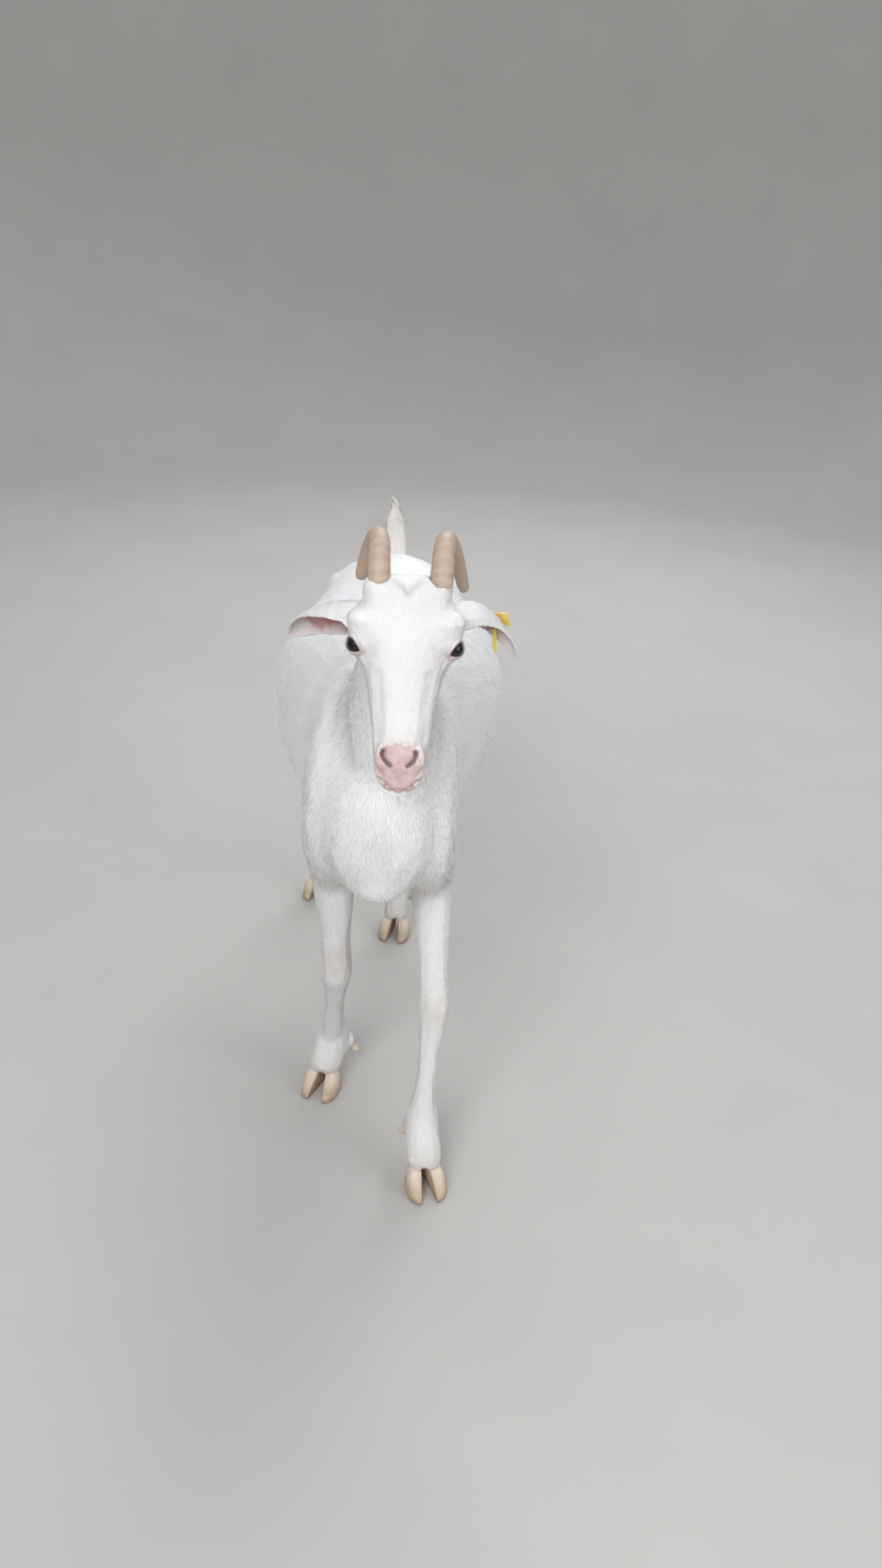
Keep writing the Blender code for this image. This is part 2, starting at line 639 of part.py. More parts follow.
def build_hind_leg(name, joints):
    bones = {
        "thigh": ("hip", "stifle"),
        "gaskin": ("stifle", "hock"),
        "cannon": ("hock", "fetlock"),
        "pastern": ("fetlock", "coronet"),
    }
    s = math.copysign(1, joints["stifle"][0])
    stifle, hock = Vector(joints["stifle"]), Vector(joints["hock"])
    knee = stifle.lerp(hock, 0.12)
    thigh = [
        *on_side(THIGH, s),
        (*(stifle.lerp(hock, 0.25) + Vector((-s * 0.006, 0.012, 0.070))), 0.043, 0.086),
        (*(knee + Vector((-s * 0.004, 0.026, 0.012))), 0.037, 0.060),
    ]
    ham = on_side(HAM, s)
    for share, back, up, half_width, half_depth in TENDON:
        ham.append((*(stifle.lerp(hock, share) + Vector((0, back, up))), half_width, half_depth))
    (hip_place, hip_size), (pin_place, pin_size) = HIP_BONE, PIN_BONE
    return [
        tube(f"{name}_thigh", thigh),
        tube(f"{name}_ham", ham),
        tube(f"{name}_shank", leg_rows(joints, HIND_GIRTH, bones), power=LIMB_SQUARENESS),
        ball(f"{name}_hock", hock + Vector((0, 0.020, 0.020)), (0.0135, 0.015, 0.022), (-18, 0, 0)),
        ball(f"{name}_stifle", stifle + Vector((-s * 0.006, 0.004, 0.004)), (0.026, 0.028, 0.036)),
        ball(f"{name}_hip_bone", (s * hip_place[0], *hip_place[1:]), hip_size),
        ball(f"{name}_pin_bone", (s * pin_place[0], *pin_place[1:]), pin_size),
    ]


def build_udder():
    made = [ball("udder", *UDDER)]
    for name, s in SIDES.items():
        made.append(tube(f"teat_{name}", on_side(TEAT, s)))
    return made


def evaluated(obj):
    """A copy of the object's mesh with its modifiers applied."""
    bpy.context.view_layer.update()
    graph = bpy.context.evaluated_depsgraph_get()
    return bpy.data.meshes.new_from_object(obj.evaluated_get(graph))


def apply_modifiers(obj):
    mesh = evaluated(obj)
    obj.modifiers.clear()
    obj.data = mesh
    return obj


def joined(name, objects):
    """All these objects' meshes in one object."""
    bm = bmesh.new()
    for obj in objects:
        bm.from_mesh(obj.data)
    drop(*objects)
    return new_object(name, bm)


def relax(mesh, rounds, crease_fill, convex_hold):
    """Smooths a mesh. Hollows between forms fill faster than bulges wear down."""
    count = len(mesh.vertices)
    places = np.empty(count * 3)
    mesh.vertices.foreach_get("co", places)
    places = places.reshape(-1, 3)
    edges = np.empty(len(mesh.edges) * 2, int)
    mesh.edges.foreach_get("vertices", edges)
    a, b = edges.reshape(-1, 2).T
    degree = np.bincount(a, minlength=count) + np.bincount(b, minlength=count)
    for _ in range(rounds):
        total = np.zeros_like(places)
        for axis in range(3):
            total[:, axis] = np.bincount(a, places[b, axis], count) + np.bincount(b, places[a, axis], count)
        pull = total / degree[:, None] - places
        mesh.vertices.foreach_set("co", places.ravel())
        mesh.update()
        normals = np.empty(count * 3)
        mesh.vertices.foreach_get("normal", normals)
        rise = (pull * normals.reshape(-1, 3)).sum(1)
        places = places + pull * np.where(rise > 0, crease_fill, convex_hold)[:, None]
    mesh.vertices.foreach_set("co", places.ravel())
    mesh.update()


def thinned(obj, triangles, group=""):
    """Takes a mesh down to about this many triangles, only inside the vertex group if one is named."""
    obj.data.calc_loop_triangles()
    lighter = obj.modifiers.new("lighter", "DECIMATE")
    lighter.ratio = triangles / len(obj.data.loop_triangles)
    lighter.vertex_group = group
    apply_modifiers(obj)


def build_skin():
    """The whole body of flesh as one closed mesh, without ears."""
    forms = [build_trunk(), tube("neck_loft", NECK), build_head(), *build_head_forms(), *build_udder()]
    forms.append(tube("tail_loft", TAIL, power=2.2))
    forms.append(ball("brisket", *BRISKET))
    for name, joints in LEGS.items():
        forms += build_fore_leg(name, joints) if name.startswith("fore") else build_hind_leg(name, joints)
        for s in SIDES.values():
            forms.append(ball("pad", behind_fetlock(joints, DEWCLAW_PAD_PLACE, s), DEWCLAW_PAD))
    skin = joined("skin", forms)
    remesh = skin.modifiers.new("join", "REMESH")
    remesh.mode = "VOXEL"
    remesh.voxel_size = BODY_VOXEL
    remesh.adaptivity = 0
    apply_modifiers(skin)
    relax(skin.data, rounds=16, crease_fill=0.85, convex_hold=0.10)
    relax(skin.data, rounds=3, crease_fill=0.40, convex_hold=0.40)
    thinned(skin, HEAD_TRIANGLES)
    body = skin.vertex_groups.new(name="body")
    away = [v.index for v in skin.data.vertices if (v.co - FACE_MIDDLE).length > HEAD_REACH]
    body.add(away, 1.0, "REPLACE")
    thinned(skin, BODY_TRIANGLES, body.name)
    return skin


def prism(name, axis, low, high, outline):
    """A cutter with a straight-sided outline, drawn across the axis and running from low to high on it."""
    bm = bmesh.new()
    rings = []
    for level in (low, high):
        rings.append([Vector((level, a, b) if axis == "x" else (a, level, b)) for a, b in outline])
    bridge(bm, rings)
    return new_object(name, bm)


def grown(obj, name, amount=GAP):
    """A copy with every point moved out along its normal."""
    copy = bpy.data.objects.new(name, obj.data.copy())
    bpy.context.scene.collection.objects.link(copy)
    bm = bmesh.new()
    bm.from_mesh(copy.data)
    bm.normal_update()
    for vert, place in [(v, v.co + v.normal * amount * v.calc_shell_factor()) for v in bm.verts]:
        vert.co = place
    bm.to_mesh(copy.data)
    bm.free()
    return copy


def boolean(obj, cutter, operation):
    """Applies one exact Boolean and returns the object."""
    cut = obj.modifiers.new(operation.lower(), "BOOLEAN")
    cut.operation = operation
    cut.solver = "EXACT"
    cut.object = cutter
    return apply_modifiers(obj)


def parted(body, name, cutter):
    """Takes the part of the body inside a cutter into an object of its own, and leaves a thin gap."""
    outside = grown(cutter, "outside")
    piece = bpy.data.objects.new(name, body.data.copy())
    bpy.context.scene.collection.objects.link(piece)
    boolean(piece, cutter, "INTERSECT")
    boolean(body, outside, "DIFFERENCE")
    drop(cutter, outside)
    return piece


def part_skin(skin):
    """Cuts the one skin into head, neck, tail, legs and trunk."""
    parts = {}
    for side, s in SIDES.items():
        before, behind = (LEGS[f"fore_{side}"]["elbow"][1] + reach for reach in FORE_LEG_SPAN)
        cutter = prism("cutter", "y", before, behind, on_side(FORE_LEG_CUT, s))
        parts[f"leg_fore_{side}"] = parted(skin, f"leg_fore_{side}", cutter)
        low, high = sorted((s * MIDLINE_GAP, s * CUT_HALF_WIDTH))
        cutter = prism("cutter", "x", low, high, HIND_LEG_CUT)
        parts[f"leg_hind_{side}"] = parted(skin, f"leg_hind_{side}", cutter)
    for name, outline in (("tail", TAIL_CUT), ("head", HEAD_CUT), ("neck", NECK_CUT)):
        cutter = prism("cutter", "x", -CUT_HALF_WIDTH, CUT_HALF_WIDTH, outline)
        parts[name] = parted(skin, name, cutter)
    skin.name = "trunk"
    parts["trunk"] = skin
    return parts


def cut_clear(flesh, hard):
    """Makes room in the flesh for a harder piece set in it."""
    room = grown(hard, "room")
    boolean(flesh, room, "DIFFERENCE")
    drop(room)


def clear():
    for obj in list(bpy.data.objects):
        bpy.data.objects.remove(obj)


def settle():
    """Moves everything so that the middle of the whole goat's footing is the origin."""
    bpy.context.view_layer.update()
    corners = [obj.matrix_world @ Vector(c) for obj in bpy.context.scene.objects for c in obj.bound_box]
    low = Vector([min(c[axis] for c in corners) for axis in range(3)])
    high = Vector([max(c[axis] for c in corners) for axis in range(3)])
    for obj in bpy.context.scene.objects:
        obj.location -= Vector(((low.x + high.x) / 2, (low.y + high.y) / 2, low.z))


def main():
    clear()
    skin = build_skin()
    parts = part_skin(skin)
    for name in SIDES:
        horn, eye, ear = build_horn(name), build_eye(name), build_ear(name)
        cut_clear(ear, parts["head"])
        cut_clear(parts["head"], horn)
        cut_clear(parts["head"], eye)
        parts[f"ear_{name}"] = ear
    for foot, joints in LEGS.items():
        for hard in (*build_claws(foot, joints), *build_dewclaws(foot, joints)):
            cut_clear(parts[f"leg_{foot}"], hard)
    _, pin, _ = build_tag()
    cut_clear(parts["ear_left"], pin)
    settle()


main()
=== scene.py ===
import math

import bpy
import numpy as np
from mathutils import Matrix, Vector
from mathutils.bvhtree import BVHTree


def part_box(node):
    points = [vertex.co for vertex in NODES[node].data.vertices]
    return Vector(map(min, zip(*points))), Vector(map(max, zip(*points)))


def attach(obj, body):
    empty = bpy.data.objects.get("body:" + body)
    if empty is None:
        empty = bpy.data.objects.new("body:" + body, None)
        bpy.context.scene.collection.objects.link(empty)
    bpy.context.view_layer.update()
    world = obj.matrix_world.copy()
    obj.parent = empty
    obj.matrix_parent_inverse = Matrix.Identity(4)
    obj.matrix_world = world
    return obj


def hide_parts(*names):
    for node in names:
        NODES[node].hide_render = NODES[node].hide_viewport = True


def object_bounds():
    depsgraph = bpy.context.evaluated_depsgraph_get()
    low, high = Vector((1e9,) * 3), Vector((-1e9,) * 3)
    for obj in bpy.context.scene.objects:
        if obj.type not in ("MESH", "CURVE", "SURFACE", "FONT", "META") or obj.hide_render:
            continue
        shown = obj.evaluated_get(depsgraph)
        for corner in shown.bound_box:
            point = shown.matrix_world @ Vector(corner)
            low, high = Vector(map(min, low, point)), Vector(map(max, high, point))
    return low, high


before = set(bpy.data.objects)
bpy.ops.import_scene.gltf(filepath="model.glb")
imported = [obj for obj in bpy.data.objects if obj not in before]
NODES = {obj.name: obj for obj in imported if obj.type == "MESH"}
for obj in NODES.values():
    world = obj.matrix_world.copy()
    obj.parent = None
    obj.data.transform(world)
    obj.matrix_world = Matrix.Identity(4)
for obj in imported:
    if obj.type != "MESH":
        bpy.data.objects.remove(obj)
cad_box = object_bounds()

# A white, short-haired young doe, life-size, in mid-step. She faces -Y, her left side is +X, metres, +Z up.

SIDES = {"left": 1, "right": -1}
FEET = ("fore_left", "fore_right", "hind_left", "hind_right")
FLESH = ("head", "neck", "trunk", "tail", *(f"leg_{foot}" for foot in FEET), "ear_left", "ear_right")
DRAWN_OUT = 0.0014  # flesh is swollen by this before it is fused, to close the cuts between the solids
DEWCLAW_SUNK = 0.0016  # how far inside a dewclaw its filling lies
SKIN_VOXEL = 0.0022
SHRUNK_LEG = 0.0011  # what evening the mesh out takes off a thin leg
SKIN_TRIANGLES = 188000
HORN_ROOT = 0.022  # of a horn's solid that lies in the head
HORN_SLEEVE = 0.015  # of the horn over its root that the skin still follows, inside the horn
KNEE_HEIGHT = 0.262
SHANK_LOW, SHANK_HIGH = 0.20, 0.42  # heights that the point of a hock lies between
CORONET = 0.027  # height of the hair line over the claws

# Coat on each part: depth over the skin, hair length, tuft width, spacing of the tufts, smoothing of the skin
COATS = {
    "trunk": (0.0012, 0.0170, 0.00125, 0.00195, 1.0),
    "neck": (0.0012, 0.0155, 0.00115, 0.00190, 0.9),
    "head": (0.0008, 0.0058, 0.00060, 0.00118, 0.30),
    "tail": (0.0018, 0.0220, 0.00115, 0.00090, 0.12),
    "leg": (0.0012, 0.0105, 0.00090, 0.00160, 0.35),
    "ear": (0.0007, 0.0052, 0.00060, 0.00125, 0.03),
}

# Where the coat changes within a part: shares of the part's own five
LOW_LEG = (0.75, 0.62, 0.85, 0.90, 1.0)
HIGH_LEG = (0.85, 0.85, 1.0, 1.0, 1.0)  # of the trunk's
UDDER = (0.4, 0.25, 0.6, 0.75, 0.15)
MUZZLE_LESS = (0.55, 0.45, 0.25, 0.10, 0.0)
CROWN_MORE = (0.6, 0.7, 0.35, 0.15, 0.0)
HORN_FOOT = (0.018, 0.030)  # of a horn's foot, behind and over the low front corner of its solid
HORN_FOOT_EVEN = 0.55  # smoothing of the skin round it

# Lie of the hair, before it is laid on the surface
LIE = {
    "trunk": (0, 1, -0.55),
    "neck": (0, 0.55, -1),
    "leg": (0, 0.14, -1),
    "chest": (0, 0.25, -1),
    "cheek": (0, 1, 0.10),
    "crown": (0, 1, 0.15),
}

# Face frame: the poll lies this far up the face and out from the middle of the eyes
FACE_TILT = math.radians(28)
EYE_BELOW, EYE_OUT = 0.071, -0.016
DOWN_FACE = Vector((0, -math.sin(FACE_TILT), -math.cos(FACE_TILT)))
OUT_OF_FACE = Vector((0, -math.cos(FACE_TILT), math.sin(FACE_TILT)))

# Eye opening, as angles round the ball: where it faces, the way its long axis runs, and its half sizes
GAZE = (0.68, -0.70, 0.12)
FISSURE = (-0.60, -0.685, -0.415)
FISSURE_HALF = math.radians(56)
LID_UP = math.radians(28)
LID_LOW = math.radians(30)
LID = 0.0010  # thickness of a lid over the ball
POCKET = 0.0026  # depth of the skin behind the ball's front
LID_FOLD_OFF, LID_FOLD_HALF = 0.0046, 0.0016  # of the fold beside each lid: off the rim, and half its width
LID_FOLD_DEPTHS = (0.0009, 0.0004)  # upper and lower
LID_WIDTH = 0.0140  # from the rim to where a lid has run out into the face

rng = np.random.default_rng(11)


# ---------------------------------------------------------------- hands

def alone(obj):
    """Makes this the one selected, active object."""
    bpy.ops.object.select_all(action="DESELECT")
    obj.select_set(True)
    bpy.context.view_layer.objects.active = obj


def edited(obj, *steps):
    """Runs edit-mode steps on an object, with all of it selected first."""
    alone(obj)
    bpy.ops.object.mode_set(mode="EDIT")
    bpy.ops.mesh.select_all(action="SELECT")
    for step in steps:
        step()
    bpy.ops.object.mode_set(mode="OBJECT")


def modified(obj, kind, **settings):
    """Adds a modifier and applies it."""
    alone(obj)
    modifier = obj.modifiers.new(kind.lower(), kind)
    for key, value in settings.items():
        setattr(modifier, key, value)
    bpy.ops.object.modifier_apply(modifier=modifier.name)
    return obj


def copy_of(node, name=None):
    """A free copy of a solid of the frame, with its loose triangles merged."""
    obj = bpy.data.objects.new(name or f"{node}_copy", NODES[node].data.copy())
    bpy.context.scene.collection.objects.link(obj)
    edited(obj, lambda: bpy.ops.mesh.remove_doubles(threshold=0.00001))
    return obj


def joined(objects, name):
    """Joins objects into the first of them."""
    alone(objects[0])
    for obj in objects[1:]:
        obj.select_set(True)
    bpy.ops.object.join()
    objects[0].name = name
    return objects[0]


def remeshed(obj, voxel):
    return modified(obj, "REMESH", mode="VOXEL", voxel_size=voxel, adaptivity=0)


def cut_above(obj, place, normal):
    """Keeps what lies against the normal's way from a plane, and closes the cut."""
    edited(
        obj,
        lambda: bpy.ops.mesh.bisect(plane_co=place, plane_no=normal, use_fill=True, clear_outer=True),
    )
    return obj


def middle(node):
    low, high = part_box(node)
    return (low + high) / 2


def smoothstep(low, high, x):
    t = np.clip((x - low) / (high - low), 0, 1)
    return t * t * (3 - 2 * t)


def read(items, name, width=1, kind=np.float32):
    found = np.empty(len(items) * width, kind)
    items.foreach_get(name, found)
    return found.reshape(-1, width) if width > 1 else found


def places_of(mesh):
    return read(mesh.vertices, "co", 3).astype(float)


def normals_of(mesh):
    return read(mesh.vertices, "normal", 3).astype(float)


def set_places(mesh, places):
    mesh.vertices.foreach_set("co", places.astype(np.float32).ravel())
    mesh.update()


def edges_of(mesh):
    return read(mesh.edges, "vertices", 2, np.int32).T


def unit(vectors):
    return vectors / np.maximum(np.linalg.norm(vectors, axis=-1, keepdims=True), 1e-12)


def neighbour_mean(edges, values):
    """The average over each vertex's neighbours, for values of one or more columns."""
    a, b = edges
    count = len(values)
    degree = np.maximum(np.bincount(a, minlength=count) + np.bincount(b, minlength=count), 1)
    total = np.empty_like(values, dtype=float)
    for axis in range(values.shape[1]):
        column = values[:, axis]
        total[:, axis] = np.bincount(a, column[b], count) + np.bincount(b, column[a], count)
    return total / degree[:, None]


EVENING = (0.6, -0.56)  # the two steps of a round: towards the neighbours, and most of the way back


def relax(mesh, weight, rounds):
    """Evens a mesh out. The weight says how much, from 0 to 1, and may differ from vertex to vertex."""
    places, edges = places_of(mesh), edges_of(mesh)
    weight = np.broadcast_to(weight, len(places))[:, None]
    for _ in range(rounds):
        for step in EVENING:
            places += (neighbour_mean(edges, places) - places) * weight * step
    set_places(mesh, places)


WAVES, WAVE_SUM = 7, 3.2  # how many waves a pattern is the sum of, and the height they seldom pass together
WAVE_SPREAD = (0.6, 1.5)


def waves(points, size, seed):
    """A smooth pattern from about -1 to 1 whose features are about this size."""
    draw = np.random.default_rng(seed)
    total = np.zeros(len(points))
    for _ in range(WAVES):
        way = unit(draw.normal(size=3)) * draw.uniform(*WAVE_SPREAD) * 2 * math.pi / size
        total += np.sin(points @ way + draw.uniform(0, 2 * math.pi))
    return total / WAVE_SUM


# ---------------------------------------------------------------- places on the head

def eye_middle():
    return (middle("eye_left") + middle("eye_right")) / 2


POLL = eye_middle() - DOWN_FACE * EYE_BELOW - OUT_OF_FACE * EYE_OUT


def face(below, out, aside=0.0):
    """A place on the head: below the poll along the face, out from the face line, and to the left."""
    return POLL + DOWN_FACE * below + OUT_OF_FACE * out + Vector((aside, 0, 0))


def face_shares(points):
    """How far points lie below the poll, out from the face line and to the left of the middle."""
    away = points - np.array(POLL)
    return away @ np.array(DOWN_FACE), away @ np.array(OUT_OF_FACE), away[:, 0]


def away_from_line(points, line, reach):
    """Distance of each point from a polyline, or twice the reach where it is farther."""
    line = np.array(line, float)
    found = np.full(len(points), reach * 2)
    near = ((points > line.min(0) - reach) & (points < line.max(0) + reach)).all(1)
    close = points[near]
    best = np.full(len(close), reach * 2)
    for start, end in zip(line, line[1:]):
        along = end - start
        t = np.clip((close - start) @ along / (along @ along), 0, 1)
        best = np.minimum(best, np.linalg.norm(close - start - t[:, None] * along, axis=1))
    found[near] = best
    return found


def curve(points, steps=6):
    """A smooth line through points."""
    points = [Vector(p) for p in points]
    padded = [2 * points[0] - points[1], *points, 2 * points[-1] - points[-2]]
    made = []
    for a, b, c, d in zip(padded, padded[1:], padded[2:], padded[3:]):
        for k in range(steps):
            t = k / steps
            bend, twist = 2 * a - 5 * b + 4 * c - d, 3 * b - a - 3 * c + d
            made.append((2 * b + (c - a) * t + bend * t * t + twist * t**3) / 2)
    return [*made, points[-1]]


BEFORE_FACE, INSIDE_FACE = 0.10, -0.03


class Clay:
    """The skin while it is being shaped: its places and normals, pushed in and out by hand-sized moves."""

    def __init__(self, mesh):
        self.mesh = mesh
        self.places = places_of(mesh)
        self.normals = normals_of(mesh)
        self.tree = tree_of(mesh)

    def set(self):
        set_places(self.mesh, self.places)
        self.normals = normals_of(self.mesh)

    def on_face(self, below, aside):
        """The skin seen from straight before the face."""
        hit = self.tree.ray_cast(face(below, BEFORE_FACE, aside), -OUT_OF_FACE)[0]
        return hit or self.tree.find_nearest(face(below, INSIDE_FACE, aside))[0]

    def nearest(self, below, out, aside):
        return self.tree.find_nearest(face(below, out, aside))[0]

    def push(self, weight, depth):
        self.places -= self.normals * (weight * depth)[:, None]

    def dent(self, centre, radii, depth):
        """A round hollow, or a swelling when the depth is negative."""
        share = (((self.places - np.array(centre)) / np.array(radii)) ** 2).sum(1)
        self.push(np.clip(1 - share, 0, 1) ** 2, depth)

    def groove(self, line, width, depth):
        """A hollow along a line, or a ridge when the depth is negative."""
        away = away_from_line(self.places, line, width)
        self.push(np.clip(1 - (away / width) ** 2, 0, 1) ** 2, depth)

    def carve(self, place, hollows, lines):
        """Hollows and lines of two tables, on both sides. The place makes a spot of a row and a side."""
        for s in SIDES.values():
            for spot, radii, depth in hollows.values():
                self.dent(place(*spot, s), radii, depth)
            for spots, width, depth in lines.values():
                self.groove(curve([place(*spot, s) for spot in spots]), width, depth)


def tree_of(mesh):
    corners = read(mesh.loops, "vertex_index", 1, np.int32).tolist()
    starts = read(mesh.polygons, "loop_start", 1, np.int32).tolist()
    faces = [corners[a:b] for a, b in zip(starts, [*starts[1:], len(corners)])]
    return BVHTree.FromPolygons(places_of(mesh).tolist(), faces)


# ---------------------------------------------------------------- the skin

def part_finder():
    """A search tree of all the flesh, and the part that each of its faces belongs to."""
    verts, faces, owner = [], [], []
    for index, node in enumerate(FLESH):
        mesh = NODES[node].data
        start = len(verts)
        verts += [v.co.copy() for v in mesh.vertices]
        faces += [[start + i for i in p.vertices] for p in mesh.polygons]
        owner += [index] * len(mesh.polygons)
    return BVHTree.FromPolygons(verts, faces), np.array(owner)


FLESH_TREE, FLESH_OWNER = part_finder()


def parts_at(points):
    """The index in FLESH of the part nearest to each point."""
    return np.array([FLESH_OWNER[FLESH_TREE.find_nearest(Vector(p))[2]] for p in points])


def kind_of(node):
    return node.split("_")[0]


def among(parts, *kinds):
    """Which points are on parts of these kinds."""
    return np.isin(parts, [index for index, node in enumerate(FLESH) if kind_of(node) in kinds])


def coat_shares(points, parts, edges):
    """Depth, length, width, spacing and smoothing at each point, eased from part to part."""
    found = np.array([COATS[kind_of(node)] for node in FLESH])[parts]
    height = smoothstep(0.10, 0.46, points[:, 2])[:, None]
    low_leg, high_leg = np.array(COATS["leg"]) * LOW_LEG, np.array(COATS["trunk"]) * HIGH_LEG
    found = np.where(among(parts, "leg")[:, None], low_leg + (high_leg - low_leg) * height, found)
    for tip in teat_tips():
        near = smoothstep(0.050, 0.025, np.linalg.norm(points - tip, axis=1))[:, None]
        found += (found * UDDER - found) * near
    for side in SIDES:
        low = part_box(f"horn_{side}")[0]
        root = np.array((middle(f"horn_{side}").x, low.y + HORN_FOOT[0], low.z + HORN_FOOT[1]))
        near = smoothstep(0.045, 0.024, np.linalg.norm(points - root, axis=1))
        found[:, 4] = np.maximum(found[:, 4], HORN_FOOT_EVEN * near)
    below = face_shares(points)[0][:, None]
    less = 1 - smoothstep(0.14, 0.21, below) * MUZZLE_LESS
    more = 1 + smoothstep(0.05, -0.01, below) * CROWN_MORE
    found = np.where(among(parts, "head")[:, None], found * less * more, found)
    for _ in range(12):
        found = 0.3 * found + 0.7 * neighbour_mean(edges, found)
    return found


def teat_tips():
    places = places_of(NODES["trunk"].data)
    tips = []
    for s in SIDES.values():
        half = places[places[:, 0] * s > 0]
        tips.append(half[half[:, 2].argmin()])
    return tips


def soften(mesh, spots, rounds):
    """Rounds off whatever is sharp near some places, each given with a radius."""
    places, edges = places_of(mesh), edges_of(mesh)
    weight = np.zeros((len(places), 1))
    for centre, radius in spots:
        away = np.linalg.norm(places - np.array(centre), axis=1)[:, None]
        weight = np.maximum(weight, smoothstep(radius, radius * 0.5, away))
    for _ in range(rounds):
        places += (neighbour_mean(edges, places) - places) * weight * 0.7
    set_places(mesh, places)


def hock_point(foot):
    """The hindmost point of a hind leg between its foot and its thigh."""
    places = places_of(NODES[f"leg_{foot}"].data)
    shank = places[(places[:, 2] > SHANK_LOW) & (places[:, 2] < SHANK_HIGH)]
    return Vector(shank[shank[:, 1].argmax()])


def largest(obj):
    """Keeps the outer shell alone."""
    edited(obj, lambda: bpy.ops.mesh.separate(type="LOOSE"))
    shells = sorted(bpy.context.selected_objects, key=lambda o: len(o.data.vertices))
    for shell in shells[:-1]:
        bpy.data.objects.remove(shell)
    return shells[-1]


def fused_flesh():
    """All the flesh as one closed mesh, with the roots of horns, claws and eyes filled in."""
    made = []
    for node in FLESH:
        flesh = copy_of(node)
        if kind_of(node) != "ear":
            modified(flesh, "DISPLACE", strength=DRAWN_OUT, mid_level=0)
        made.append(flesh)
    for side in SIDES:
        made.append(copy_of(f"eye_{side}"))
        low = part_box(f"horn_{side}")[0]
        root = modified(copy_of(f"horn_{side}"), "DISPLACE", strength=DRAWN_OUT, mid_level=0)
        made.append(cut_above(root, (0, 0, low.z + HORN_ROOT + HORN_SLEEVE), (0, 0, 1)))
    for foot in FEET:
        for claw in ("inner", "outer"):
            made.append(cut_above(copy_of(f"claw_{foot}_{claw}"), (0, 0, CORONET), (0, 0, -1)))
            dewclaw = copy_of(f"dewclaw_{foot}_{claw}")
            made.append(modified(dewclaw, "DISPLACE", strength=-DEWCLAW_SUNK, mid_level=0))
    skin = joined(made, "skin")
    remeshed(skin, SKIN_VOXEL)
    skin = largest(skin)
    skin.name = "skin"
    return skin


def subdivided(obj, inside):
    """Splits the faces whose vertices are all inside."""
    mesh = obj.data
    alone(obj)
    bpy.ops.object.mode_set(mode="EDIT")
    bpy.ops.mesh.select_all(action="DESELECT")
    bpy.ops.mesh.select_mode(type="FACE")
    bpy.ops.object.mode_set(mode="OBJECT")
    corners = read(mesh.loops, "vertex_index", 1, np.int32)
    starts = read(mesh.polygons, "loop_start", 1, np.int32)
    chosen = np.logical_and.reduceat(inside[corners], starts)
    mesh.polygons.foreach_set("select", chosen)
    bpy.ops.object.mode_set(mode="EDIT")
    bpy.ops.mesh.subdivide(number_cuts=1, quadcorner="INNERVERT")
    bpy.ops.object.mode_set(mode="OBJECT")


def eye_frame(side):
    """Middle and radius of the eyeball, and the ways it looks, its opening runs, and up across it."""
    s = SIDES[side]
    low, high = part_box(f"eye_{side}")
    gaze = Vector((s * GAZE[0], *GAZE[1:])).normalized()
    along = Vector((s * FISSURE[0], *FISSURE[1:]))
    along = (along - gaze * along.dot(gaze)).normalized()
    across = gaze.cross(along) * s
    if across.z < 0:
        across = -across
    return (low + high) / 2, (high.x - low.x) / 2, gaze, along, across


def off_the_eye(points, side):
    """How far points lie off the rim of the eye's opening, negative inside, and where on its ball."""
    centre, radius, gaze, along, across = eye_frame(side)
    away = points - np.array(centre)
    reach = np.linalg.norm(away, axis=1)
    way = away / np.maximum(reach, 1e-9)[:, None]
    turned = np.arccos(np.clip(way @ np.array(gaze), -1, 1))
    a, b = way @ np.array(along), way @ np.array(across)
    spread = turned / np.maximum(np.hypot(a, b), 1e-9)
    a, b = a * spread, b * spread
    share = np.clip(1 - (a / FISSURE_HALF) ** 2, 0, 1)
    rim = np.where(b > 0, LID_UP * share**0.85, LID_LOW * share**0.95)
    off = np.abs(b) - rim
    off = np.where(np.abs(a) > FISSURE_HALF, np.hypot(np.abs(a) - FISSURE_HALF, b), off)
    return off * radius, reach, way, a, b


def shape_eyes(clay):
    """Lids that wrap the eyeballs, with the skin passing behind each ball inside its opening."""
    for side in SIDES:
        centre, radius, *_ = eye_frame(side)
        off, reach, way, _, b = off_the_eye(clay.places, side)
        near = (reach < radius * 2.4) & (off < 0.015)
        lid = radius + LID + 0.0003 * smoothstep(0.0002, 0.0020, off)
        outer = np.maximum(reach, radius + LID * 0.3)
        blended = lid + (outer - lid) * smoothstep(0.0005, LID_WIDTH, off)
        inner = radius - POCKET
        target = inner + (blended - inner) * smoothstep(-0.0007, 0.0002, off)
        fold = np.clip(1 - ((off - LID_FOLD_OFF) / LID_FOLD_HALF) ** 2, 0, 1) ** 2
        target -= fold * np.where(b > 0, *LID_FOLD_DEPTHS)
        places = np.array(centre) + way * target[:, None]
        clay.places[near] = places[near]
        clay.set()


